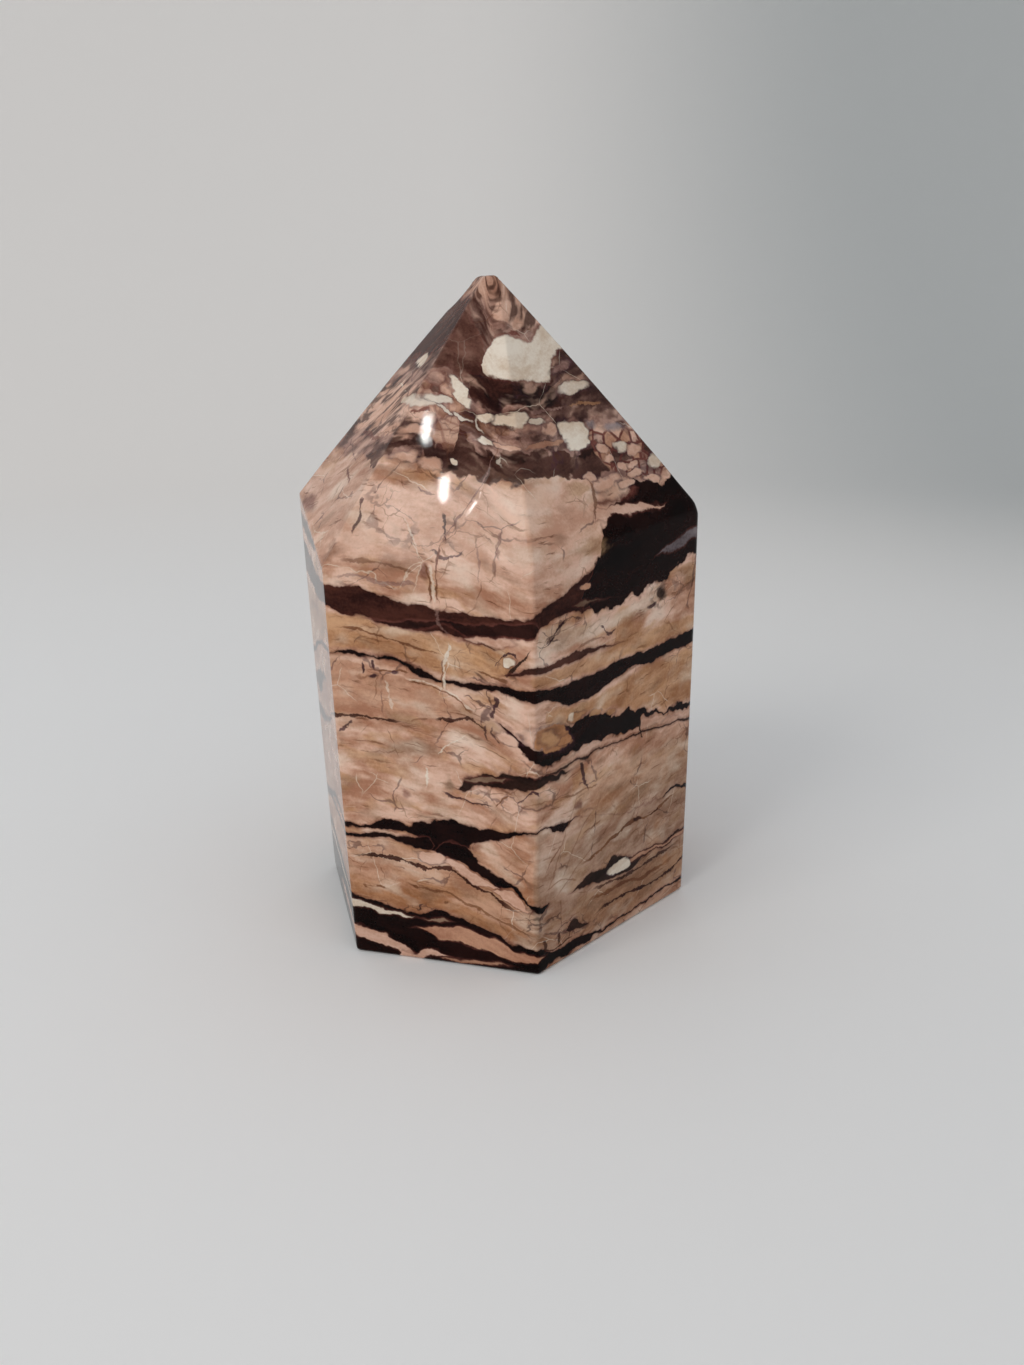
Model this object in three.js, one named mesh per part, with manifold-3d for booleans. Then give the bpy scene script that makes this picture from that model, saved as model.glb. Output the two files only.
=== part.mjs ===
// A polished stone tower: one piece of zebra jasper with six sides, a six-sided point and a flat base.
// Millimetres, +Z up. The origin is in the middle of the base.

import * as THREE from 'three';
import { mergeVertices } from 'three/addons/utils/BufferGeometryUtils.js';
import Module from 'manifold-3d';

// Overall sizes
const HEIGHT = 91.2;
const FLARE = 0.011; // how far every side leans out, for each millimetre of height

// The sides, counter-clockwise from the back left one.
// azimuth: where the side faces, in degrees from +X
// reach: from the tower's axis to the side, at the base
// shoulder: height of the corner that the side shares with the next one, where the point begins
// tipReach: from the axis to the facet above the side, at the very top
const SIDES = [
  { azimuth: 151.7, reach: 24.2, shoulder: 61.8, tipReach: 2.2 },
  { azimuth: 210.5, reach: 25.8, shoulder: 56.3, tipReach: 0.8 },
  { azimuth: 270.0, reach: 25.4, shoulder: 57.9, tipReach: 1.2 },
  { azimuth: 330.0, reach: 23.0, shoulder: 60.3, tipReach: 2.0 },
  { azimuth: 391.4, reach: 25.3, shoulder: 59.4, tipReach: 0.5 },
  { azimuth: 450.7, reach: 24.7, shoulder: 58.8, tipReach: 0.8 },
];

// Polish: edges are a little soft and faces a little full
const EDGE_SOFTNESS = 0.55;
const BASE_SOFTNESS = 0.6;
const TIP_SOFTNESS = 0.25;
const SIDE_FULLNESS = 0.12;
const POINT_FULLNESS = 0.4;

// A small flat ground on the right shoulder, below the edge of the point
const SHOULDER_FLAT = { corner: 3, tilt: 22, depth: 0.35 };

// The bruise beside the tip: a lump of these half sizes broken out of the point's left edge,
// its middle this far below the top and this far outside the edge. Its unevenness is a share of its size,
// in waves along it, across it and into it
const BRUISE = { corner: 0, below: 2.4, outside: 0.15, along: 2.6, across: 1.1, deep: 0.5 };
const BRUISE_WAVES = { share: 0.16, along: 5, across: 6, deep: 3, shift: 2 };

// How finely the surface is divided
const COLUMNS_IN_FACE = 5;
const ROWS_ON_SIDE = 6;
const ROWS_ON_POINT = 8;
const FOOT_SHARES = [0, 0.15, 0.45, 1]; // rows up a small rounded edge, as shares of its size
const BEND_SHARES = [-1, -0.5, 0, 0.5, 1]; // rows over the shoulder line, as shares of the edges' softness
const SMALLEST_FACE_ANGLE = 0.12; // radians
const LARGEST_SOFT_SHARE = 0.25; // of a face's angle, for the soft edge on each side of it
const BRUISE_DETAIL = 3;

// A face seen more edge-on than this, as a cosine, has no reach in that direction
const EDGE_ON = 0.05;

// So many of the nearest faces are blended where they meet
const FACES_BLENDED = 4;

// The rounded edge of two faces that meet at the sixty degrees of a hexagon:
// how quickly their reaches part, for each radian away from the edge and millimetre of radius
const PARTING_RATE = 2 * Math.tan(Math.PI / 6);

const FULL_TURN = 2 * Math.PI;
const radians = THREE.MathUtils.degToRad;

/** A point at a distance from the axis, in a direction round it, at a height. */
function polar(angle, distance, height) {
  return new THREE.Vector3(Math.cos(angle) * distance, Math.sin(angle) * distance, height);
}

/** The leaning plane of one side. */
function sidePlane(side) {
  const facing = radians(side.azimuth);
  const normal = polar(facing, 1, -FLARE).normalize();
  return new THREE.Plane().setFromNormalAndCoplanarPoint(normal, polar(facing, side.reach, 0));
}

/** Where two faces cross at a height. */
function cornerAt(planeA, planeB, height) {
  const a = planeA.normal;
  const b = planeB.normal;
  const offsetA = -planeA.constant - a.z * height;
  const offsetB = -planeB.constant - b.z * height;
  const determinant = a.x * b.y - a.y * b.x;
  const x = (offsetA * b.y - offsetB * a.y) / determinant;
  const y = (a.x * offsetB - b.x * offsetA) / determinant;
  return new THREE.Vector3(x, y, height);
}

/** The direction of a point round the axis, counted in full turns to come nearest to another direction. */
function directionNear(point, wanted) {
  const angle = Math.atan2(point.y, point.x);
  return angle + FULL_TURN * Math.round((wanted - angle) / FULL_TURN);
}

/** How far a plane lies from the axis, in a direction round it, at a height. */
function reachOf(plane, angle, height) {
  const facing = plane.normal.x * Math.cos(angle) + plane.normal.y * Math.sin(angle);
  return facing > EDGE_ON ? (-plane.constant - plane.normal.z * height) / facing : Infinity;
}

/** The smaller of two reaches, with the change from one to the other rounded off. */
function softMinimum(a, b, softness) {
  const overlap = Math.max(softness - Math.abs(a - b), 0);
  return Math.min(a, b) - (overlap * overlap) / (4 * softness);
}

/** How far a quarter-round of this size has cut back, at a distance from where it begins. */
function quarterRound(size, distance) {
  const left = Math.max(size - distance, 0);
  return size - Math.sqrt(size * size - left * left);
}

const sidePlanes = SIDES.map(sidePlane);
const count = SIDES.length;

// Corner i lies between side i and the next side
const shoulders = SIDES.map((side, i) => cornerAt(sidePlanes[i], sidePlanes[(i + 1) % count], side.shoulder));
const cornerAngles = shoulders.map((corner, i) => directionNear(corner, radians(SIDES[i].azimuth)));

// A facet of the point rests on its side's two shoulders and leans in to the tip
const facetPlanes = SIDES.map((side, i) => {
  const left = shoulders[(i + count - 1) % count];
  const right = shoulders[i];
  const top = polar(radians(side.azimuth), side.tipReach, HEIGHT);
  return new THREE.Plane().setFromCoplanarPoints(left, right, top);
});

const flatTilt = radians(SHOULDER_FLAT.tilt);
const flatNormal = polar(cornerAngles[SHOULDER_FLAT.corner], Math.cos(flatTilt), Math.sin(flatTilt));
const flatPoint = shoulders[SHOULDER_FLAT.corner].clone().addScaledVector(flatNormal, -SHOULDER_FLAT.depth);
const shoulderFlat = new THREE.Plane().setFromNormalAndCoplanarPoint(flatNormal, flatPoint);

const allPlanes = [...sidePlanes, ...facetPlanes, shoulderFlat];

/** The shoulder line's height in a direction, where the nearest side meets the facet above it. */
function shoulderHeight(angle) {
  const reaches = sidePlanes.map((plane) => reachOf(plane, angle, HEIGHT / 2));
  const nearest = reaches.indexOf(Math.min(...reaches));
  const side = sidePlanes[nearest];
  const facet = facetPlanes[nearest];
  const sideAtBase = reachOf(side, angle, 0);
  const facetAtBase = reachOf(facet, angle, 0);
  const sideRise = (reachOf(side, angle, HEIGHT) - sideAtBase) / HEIGHT;
  const facetRise = (reachOf(facet, angle, HEIGHT) - facetAtBase) / HEIGHT;
  return (facetAtBase - sideAtBase) / (sideRise - facetRise);
}

/** How full a surface is at a share of its length, from 0 at both ends to 1 in the middle. */
function fullness(share) {
  return 4 * share * (1 - share);
}

/** The stone's surface: its distance from the axis, in a direction and at a height. */
function surfaceReach(angle, height) {
  const reaches = allPlanes.map((plane) => reachOf(plane, angle, height)).sort((a, b) => a - b);
  const [nearest, ...others] = reaches.slice(0, FACES_BLENDED);
  const reach = others.reduce((least, next) => softMinimum(least, next, EDGE_SOFTNESS), nearest);
  const shoulder = shoulderHeight(angle);
  const full = height < shoulder
    ? SIDE_FULLNESS * fullness(height / shoulder)
    : POINT_FULLNESS * fullness((height - shoulder) / (HEIGHT - shoulder));
  return reach + full - quarterRound(BASE_SOFTNESS, height) - quarterRound(TIP_SOFTNESS, HEIGHT - height);
}

/** Heights of the rows of points, from the base past a shoulder to the tip. */
function rowHeights(shoulder) {
  const foot = FOOT_SHARES.map((share) => share * BASE_SOFTNESS);
  const bend = BEND_SHARES.map((share) => shoulder + share * EDGE_SOFTNESS);
  const tip = FOOT_SHARES.map((share) => HEIGHT - share * TIP_SOFTNESS).reverse();
  const side = spread(foot.at(-1), bend[0], ROWS_ON_SIDE);
  const point = spread(bend.at(-1), tip[0], ROWS_ON_POINT);
  return [...foot, ...side, ...bend, ...point, ...tip];
}

/** Evenly spaced values between two ends, without the ends. */
function spread(from, to, steps) {
  return Array.from({ length: steps }, (_, i) => THREE.MathUtils.lerp(from, to, (i + 1) / (steps + 1)));
}

/** Where each face begins and ends, as directions round the axis, in one row of points. */
function faceSpans(row) {
  const ends = SIDES.map((side, i) => {
    const height = rowHeights(side.shoulder)[row];
    const above = cornerAt(facetPlanes[i], facetPlanes[(i + 1) % count], Math.max(height, side.shoulder));
    return directionNear(above, cornerAngles[i]);
  });
  const spans = ends.map((end, i) => [i === 0 ? ends.at(-1) - FULL_TURN : ends[i - 1], end]);
  spans.forEach(([from, to], i) => {
    if (to - from > SMALLEST_FACE_ANGLE) {
      return;
    }
    // The neighbours have closed over this facet, just under the tip
    const before = (i + count - 1) % count;
    const after = (i + 1) % count;
    const crossing = cornerAt(facetPlanes[before], facetPlanes[after], rowHeights(SIDES[i].shoulder)[row]);
    const middle = directionNear(crossing, radians(SIDES[i].azimuth));
    spans[i] = [middle - SMALLEST_FACE_ANGLE / 2, middle + SMALLEST_FACE_ANGLE / 2];
    spans[before][1] = spans[i][0] + (i === 0 ? FULL_TURN : 0);
    spans[after][0] = spans[i][1] - (after === 0 ? FULL_TURN : 0);
  });
  return spans;
}

/** Directions of the columns of one face, from its first corner, where the tower has this radius. */
function columnAngles([from, to], radius) {
  const soft = Math.min(EDGE_SOFTNESS / (PARTING_RATE * radius), (to - from) * LARGEST_SOFT_SHARE);
  const inner = spread(from + soft, to - soft, COLUMNS_IN_FACE);
  return [from, from + soft / 2, from + soft, ...inner, to - soft, to - soft / 2];
}

/** The whole surface as a closed mesh: rings of points joined by triangles, closed below and on top. */
function towerGeometry() {
  const meanShoulder = SIDES.reduce((sum, side) => sum + side.shoulder, 0) / count;
  const rowCount = rowHeights(meanShoulder).length;
  const positions = [];
  for (let row = 0; row < rowCount; row += 1) {
    const radius = surfaceReach(cornerAngles[0], rowHeights(meanShoulder)[row]);
    faceSpans(row).forEach((span) => {
      columnAngles(span, radius).forEach((angle) => {
        const height = rowHeights(shoulderHeight(angle))[row];
        positions.push(...polar(angle, surfaceReach(angle, height), height));
      });
    });
  }
  const columns = positions.length / 3 / rowCount;
  const index = [];
  for (let row = 0; row < rowCount - 1; row += 1) {
    for (let column = 0; column < columns; column += 1) {
      const next = (column + 1) % columns;
      const a = row * columns + column;
      const b = row * columns + next;
      index.push(a, b, b + columns, a, b + columns, a + columns);
    }
  }
  const bottom = positions.length / 3;
  const top = bottom + 1;
  positions.push(0, 0, 0, 0, 0, HEIGHT);
  for (let column = 0; column < columns; column += 1) {
    const next = (column + 1) % columns;
    const lastRow = (rowCount - 1) * columns;
    index.push(bottom, next, column, top, lastRow + column, lastRow + next);
  }
  const geometry = new THREE.BufferGeometry();
  geometry.setAttribute('position', new THREE.Float32BufferAttribute(positions, 3));
  geometry.setIndex(index);
  return geometry;
}

/** The lump that is missing beside the tip: an uneven pebble lying along the point's left edge. */
function bruiseGeometry() {
  const geometry = new THREE.IcosahedronGeometry(1, BRUISE_DETAIL);
  const [facet, nextFacet] = [facetPlanes[BRUISE.corner], facetPlanes[BRUISE.corner + 1]];
  const middle = cornerAt(facet, nextFacet, HEIGHT - BRUISE.below);
  const along = middle.clone().sub(shoulders[BRUISE.corner]).normalize();
  const outward = facet.normal.clone().add(nextFacet.normal).normalize();
  const across = new THREE.Vector3().crossVectors(outward, along);
  const halfSizes = new THREE.Vector3(BRUISE.along, BRUISE.across, BRUISE.deep);
  const waves = BRUISE_WAVES;
  const point = new THREE.Vector3();
  const position = geometry.getAttribute('position');
  for (let i = 0; i < position.count; i += 1) {
    point.fromBufferAttribute(position, i);
    const alongWave = Math.sin(waves.along * point.x + waves.shift);
    const acrossWave = Math.cos(waves.across * point.y + waves.deep * point.z);
    point.multiplyScalar(1 + waves.share * alongWave * acrossWave).multiply(halfSizes);
    position.setXYZ(i, point.x, point.y, point.z);
  }
  const centre = middle.addScaledVector(outward, BRUISE.outside);
  return geometry.applyMatrix4(new THREE.Matrix4().makeBasis(along, across, outward).setPosition(centre));
}

const wasm = await Module();
wasm.setup();

/** A closed geometry as a solid that can be cut. */
function solidFrom(geometry) {
  geometry.deleteAttribute('normal');
  geometry.deleteAttribute('uv');
  const merged = mergeVertices(geometry);
  return new wasm.Manifold(new wasm.Mesh({
    numProp: 3,
    vertProperties: new Float32Array(merged.getAttribute('position').array),
    triVerts: new Uint32Array(merged.getIndex().array),
  }));
}

/** A solid as a geometry that can be drawn. */
function geometryFrom(solid) {
  const mesh = solid.getMesh();
  const geometry = new THREE.BufferGeometry();
  geometry.setAttribute('position', new THREE.BufferAttribute(mesh.vertProperties, 3));
  geometry.setIndex(new THREE.BufferAttribute(mesh.triVerts, 1));
  geometry.computeVertexNormals();
  return geometry;
}

/** The tower's stone, with its bruise, standing with the middle of its outline over the origin. */
function stoneGeometry() {
  const stone = solidFrom(towerGeometry()).subtract(solidFrom(bruiseGeometry()));
  const geometry = geometryFrom(stone);
  geometry.computeBoundingBox();
  const middle = geometry.boundingBox.getCenter(new THREE.Vector3());
  return geometry.translate(-middle.x, -middle.y, 0);
}

const polishedJasper = new THREE.MeshStandardMaterial({ color: 0xb08a72, roughness: 0.22, metalness: 0 });

const tower = new THREE.Mesh(stoneGeometry(), polishedJasper);
tower.name = 'tower';

const model = new THREE.Group();
model.add(tower);

export default model;
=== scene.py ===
"""A polished tower of zebra jasper on a pale floor, seen from the front and a little above."""
from __future__ import annotations

import logging
import math
from collections.abc import Sequence
from dataclasses import dataclass, field
from enum import Enum

import bpy
from mathutils import Matrix, Vector


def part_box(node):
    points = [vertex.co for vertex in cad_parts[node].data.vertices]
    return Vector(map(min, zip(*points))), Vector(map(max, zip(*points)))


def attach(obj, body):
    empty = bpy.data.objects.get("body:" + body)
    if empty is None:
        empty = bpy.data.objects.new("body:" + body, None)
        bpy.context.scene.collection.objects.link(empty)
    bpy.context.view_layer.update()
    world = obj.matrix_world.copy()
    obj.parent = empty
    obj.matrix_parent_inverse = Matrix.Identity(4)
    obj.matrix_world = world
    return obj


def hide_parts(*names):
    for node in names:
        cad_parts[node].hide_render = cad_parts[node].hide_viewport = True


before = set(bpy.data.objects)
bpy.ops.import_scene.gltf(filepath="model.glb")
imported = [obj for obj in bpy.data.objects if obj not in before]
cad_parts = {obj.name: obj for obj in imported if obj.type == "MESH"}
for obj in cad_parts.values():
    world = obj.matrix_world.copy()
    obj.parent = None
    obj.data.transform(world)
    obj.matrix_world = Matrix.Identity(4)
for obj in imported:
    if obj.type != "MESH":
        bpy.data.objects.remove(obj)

logging.basicConfig(level=logging.INFO, format="%(message)s")
LOG = logging.getLogger("tower")

MM = 0.001
DEGREES = 180 / math.pi
FULL_TURN = 360.0
HALVES = (0.5, 0.5, 0.5)

# Directions round the stone are in degrees from +X, counter-clockwise, and heights in millimetres.
# The directions run from behind the back side round the front to the back side again.
BACK_START = -270.0
BACK_END = 90.0
# About how far round the stone a degree reaches, for lines on its unrolled surface
MM_PER_DEGREE = 0.5

Pair = tuple[float, float]
Triple = tuple[float, float, float]
Line = tuple[Pair, ...]


class Tone(Enum):
    """The stone's colours, each from its darker to its lighter state, as 0 to 255 sRGB values."""

    NIGHT = ((8, 2, 2), (32, 11, 8))
    CHOCOLATE = ((36, 12, 9), (76, 40, 31))
    BROWN = ((62, 34, 26), (112, 76, 64))
    UMBER = ((96, 56, 36), (138, 92, 64))
    MAROON = ((84, 38, 32), (128, 76, 66))
    MAUVE = ((110, 74, 68), (170, 134, 122))
    PLUM = ((36, 16, 22), (80, 48, 58))
    GREY = ((116, 90, 72), (160, 132, 110))
    OLIVE = ((140, 102, 70), (188, 150, 112))
    OCHRE = ((146, 94, 60), (188, 134, 94))
    TAN = ((164, 114, 78), (204, 156, 114))
    ROSE = ((170, 119, 94), (206, 158, 129))
    PINK = ((203, 156, 132), (232, 193, 172))
    CREAM = ((212, 188, 164), (240, 228, 212))
    BLUE = ((98, 90, 94), (154, 148, 152))


class Along(Enum):
    """What a thin line's points are counted by: its direction round the stone, or its height."""

    DIRECTION = "direction"
    HEIGHT = "height"


@dataclass(frozen=True)
class Bed:
    """A bed or lens of one tone between its top and its bottom line.

    Its rows are directions, each with the heights of its top and its bottom there. Where there are only two
    numbers the bottom line has no point, and where there is None the top line has none. The softness and the
    raggedness of its edges are in millimetres, and the taper past its last points is in degrees.
    """

    name: str
    tone: Tone
    rows: tuple[tuple[float | None, ...], ...]
    strength: float = 1.0
    softness: float = 0.22
    taper: float = 1.5
    ragged: float = 1.0

    @property
    def top(self) -> Line:
        """Its top line."""
        return tuple((row[0], row[1]) for row in self.rows if row[1] is not None)

    @property
    def bottom(self) -> Line:
        """Its bottom line."""
        return tuple((row[0], row[2]) for row in self.rows if len(row) > 2)

    @property
    def heights(self) -> list[float]:
        """The heights of its lines' points."""
        return [height for _, height in (*self.top, *self.bottom)]


@dataclass(frozen=True)
class Seam:
    """A thin line of one tone along a row of points, each with what it is counted by first.

    Its width, the softness of its edges and the depth that it is cut to are in millimetres.
    """

    name: str
    tone: Tone
    path: Line
    width: float = 0.35
    strength: float = 0.9
    softness: float = 0.15
    along: Along = Along.DIRECTION
    depth: float = 0.0

    @property
    def heights(self) -> list[float]:
        """The heights of its points."""
        return [point[0 if self.along is Along.HEIGHT else 1] for point in self.path]


@dataclass(frozen=True)
class Spot:
    """A rounded spot of one tone, at a direction and a height.

    Its size is its half width in degrees and its half height in millimetres. The tilt is how far it rises
    with each degree.
    """

    name: str
    tone: Tone
    at: Pair
    size: Pair
    strength: float = 0.9
    softness: float = 0.35
    tilt: float = 0.0

    @property
    def heights(self) -> list[float]:
        """Its lowest and highest points."""
        reach = self.size[1] + abs(self.tilt) * self.size[0]
        return [self.at[1] - reach, self.at[1] + reach]


# Large soft changes of colour in the pale stone
ZONES = (
    Bed("pink of the point", Tone.PINK, ((-270, 67, 55), (-180, 66, 52), (-125, 67), (-122, None, 56.5),
         (-105, None, 57), (-95, 66, 56), (-80, None, 54.5), (-62, None, 54), (-60, 66.5), (-45, None, 53),
         (-36, 66), (0, 66, 54), (45, 67, 55), (90, 67, 55)), 0.75, 1.2),
    Bed("tan under the shoulder band", Tone.TAN, ((-180, 46, 38), (-120, 50.8, 45.6), (-100, None, 44.4),
         (-95, 48.8), (-85, None, 42.6), (-80, 48), (-70, 47, 43)), 0.85, 0.8),
    Bed("rosy bed", Tone.ROSE, ((-180, 36, 30), (-122, 44.5, 36.8), (-100, 42.4, 36.9), (-90, 40.5, 37.2),
         (-83, 38, 37.2)), 0.85, 0.5),
    Bed("rosy foot", Tone.ROSE, ((-125, 8.5, 0), (-100, 8, 0), (-60, 7, 0), (-40, 8, 0), (5, 9, 0)), 0.6,
        1.5),
    Bed("ochre under the pale beds", Tone.OCHRE, ((-121, 11.6, 9), (-110, None, 8), (-104, 11.6),
         (-95, 10.8, 8.2), (-85, 9.8, 7.2), (-75, 7.9, 5.5), (-62, 6, 4)), 0.8, 0.7),
    Bed("pale bed under the wedge", Tone.PINK, ((-125, 18.5, 12.5), (-105, 18.2, 12.5), (-90, 16, 11.8),
         (-75, 12.8, 9), (-62, 9, 6.5)), 0.45, 0.8),
    Bed("tan over the right band", Tone.TAN, ((-64, 43.7, 41.6), (-40, 44, 41.4), (-20, 45, 42),
         (5, 45, 42.4)), 0.75, 0.6),
    Bed("tan under the right band", Tone.TAN, ((-60, 38.6, 36), (-45, 38), (-40, None, 35.5),
         (-20, 39.5, 33.6), (5, 40, 31.5)), 0.8, 0.8),
    Bed("ochre by the right edge", Tone.OCHRE, ((-30, 37, 34.6), (-10, 35.5, 32.4), (5, 33.5, 31.4)), 0.45,
        0.9),
    Bed("tan of the right side", Tone.TAN, ((-50, 29, 20.5), (-30, 28, 18), (-10, 27, 18.5), (5, 27, 20)),
        0.4, 1.8),
    Bed("tan foot of the right side", Tone.TAN, ((-48, 9.4, 2.5), (-35, 8.6, 2), (-20, 8, 2), (5, 8.6, 3)),
        0.6, 1.0),
    Bed("grey veil", Tone.GREY, ((-113, 31.6, 30.2), (-104, 33.6, 31), (-98, 34.2, 30.9),
         (-92, 33.6, 31.2), (-88, 32, 31.6)), 0.5, 1.2),
    Bed("cream bed over the right line", Tone.CREAM, ((-62, 50, 45), (-55, 49.6, 45.4), (-45, 48.6, 45.6),
         (-30, 49, 46.5), (-12, 50, 47.5)), 0.4, 1.0),
)

# Painted shade: the left side, the left facet and the foot of the front are laid darker and browner, as if
# less lit
PAINTED_SHADE_BEDS = (
    Bed("painted mauve shade on the left side", Tone.MAUVE, ((-230, 58, 8), (-176, 57, 10), (-122, 54, 14)), 0.25,
        9.0, ragged=2.0),
    Bed("painted mauve shade on the left facet", Tone.MAUVE, ((-230, 74, 58), (-176, 74, 58), (-122, 72, 58)),
        0.25, 5.0, ragged=2.0),
    Bed("painted shade on the left foot", Tone.OCHRE, ((-180, 30, -4), (-120, 24, -4), (-90, 26, -4),
         (-64, 24, -4)), 0.6, 14.0),
    Bed("painted shade on the right foot", Tone.GREY, ((-64, 28, -4), (-30, 30, -4), (20, 34, -4)), 0.6,
        16.0),
    Bed("painted umber shade at the foot", Tone.UMBER, ((-180, 13, -4), (-64, 12, -4), (20, 17, -4)), 0.35, 8.0),
)

# The stone of the point above its pink bed, and the streaky bands that cross it
POINT_BEDS = (
    Bed("mixed stone of the point", Tone.MAUVE, ((-270, 93, 68), (-180, 93, 68), (-150, None, 68),
         (-120, None, 68.6), (-103, None, 69), (-95, None, 67.6), (-90, 93), (-80, None, 67.5),
         (-62, None, 66.6), (-36, None, 66), (-20, None, 64.5), (0, 93), (5, None, 64.5), (45, None, 66),
         (90, 93, 68)), 0.8, 0.5, ragged=3.0),
    Bed("pink left of the point", Tone.PINK, ((-230, 76, 71), (-180, 77, 71), (-140, 78, 71),
         (-120, 77, 71.4), (-104, 76.2, 71)), 0.85, 0.7, ragged=4.0),
    Bed("brown pink of the tip", Tone.ROSE, ((-270, 93, 87), (-120, 93, 87.4), (-80, None, 86.8),
         (-60, 93, 86.6), (0, 93, 87), (90, 93, 87)), 0.5, 2.0, ragged=1.0),
    Bed("pale greige of the right tip", Tone.PINK, ((-66, 86.4, 85.8), (-58, 87.8, 85), (-45, 88.2, 84.2),
         (-20, 88, 84), (0, 88.4, 84.5), (45, 88, 83.6), (90, 88, 86)), 0.85, 0.5, ragged=2.0),
    Bed("chocolate of the point", Tone.CHOCOLATE, ((-270, 86, 75), (-180, 88, 79), (-122, 88.4, 79),
         (-106, None, 79.4), (-95, 88.2, 78.4), (-86, None, 76.6), (-84, 87.2), (-75, None, 75),
         (-74, 85.5), (-66, 84), (-56, 83.8), (-55, None, 74.4), (-30, 82, 72.6), (-5, None, 72.6),
         (0, 82), (45, 83, 73), (90, 86, 75)), 0.68, 0.5, ragged=3.0),
    Bed("umber under the second clast", Tone.UMBER, ((-99, 76.6, 75.8), (-92, 75.9, 74.6), (-86, 75, 72.8),
         (-76, 73.8, 71.6), (-66, 73, 71.6)), 0.75, 0.3, ragged=2.0),
    Bed("dark core of the point", Tone.CHOCOLATE, ((-270, 79, 77), (-210, 82, 80), (-160, 84, 82),
         (-120, 83.2, 82), (-110, 83, 81), (-100, 82.2, 79.8), (-92, 81.6, 79), (-86, None, 77.2),
         (-85, 80.4), (-82, None, 75.4), (-78, 79), (-70, 78.4, 75), (-60, 77.8), (-55, None, 74.6),
         (-45, 77.4), (-40, None, 74.3), (-33, 77.2), (-30, None, 74.4), (-27, 76.2, 75.2),
         (0, 73.4, 73.4), (45, 77, 75.4), (90, 79, 77)), 0.85, 0.35, ragged=4.0),
    Bed("dark band of the point, left", Tone.CHOCOLATE, ((-138, 68.8, 68.4), (-130, 69.6, 67.9),
         (-125, None, 67.6), (-122, 71), (-118, None, 69.4), (-115, 71.4), (-110, None, 70), (-106, 71.2),
         (-103, 71, 70.2)), 0.85, 0.3, ragged=3.0),
    Bed("dark band behind the point", Tone.CHOCOLATE, ((-270, 71, 68), (-225, 70, 67.6), (-196, 69, 68.6)),
        0.85, 0.3, ragged=3.0),
    Bed("dark band of the point", Tone.CHOCOLATE, ((-104, 72.6, 69.6), (-98, 73.4, 67.9), (-92, 72.9),
         (-90, None, 67.2), (-86, 72.3), (-85, None, 66.9), (-83, 71.2), (-80, None, 66.7), (-79, 70.2),
         (-72.5, None, 66.4), (-70, 70), (-67.5, None, 66), (-62, 69.8, 66.4), (-50, 69.8, 66.2),
         (-42, 69.4), (-40, None, 66.4), (-35, 69), (-30, None, 65.8), (-28, 69.6), (-20, 70.6, 66.2),
         (-17, 70, 66.8), (30, 70, 67), (90, 71, 68)), 0.9, 0.3, ragged=3.5),
    Bed("black heart of the right core", Tone.NIGHT, ((-76, 77, 75.6), (-62, 77.4, 75), (-45, 77.2, 74.6),
         (-33, 77, 74.7), (-28, 76, 75.2)), 0.85, 0.5, ragged=3.0),
    Bed("black heart of the band", Tone.NIGHT, ((-36, 68.8, 68.2), (-30, 69.2, 68), (-25, 69.6, 68.2),
         (-20, 70.3, 69.2)), 0.9, 0.4, ragged=3.0),
    Bed("black heart of the left band", Tone.NIGHT, ((-79, 70, 69.3), (-70, 69.7, 68.6),
         (-62, 69.4, 68.2)), 0.7, 0.4),
)

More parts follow.
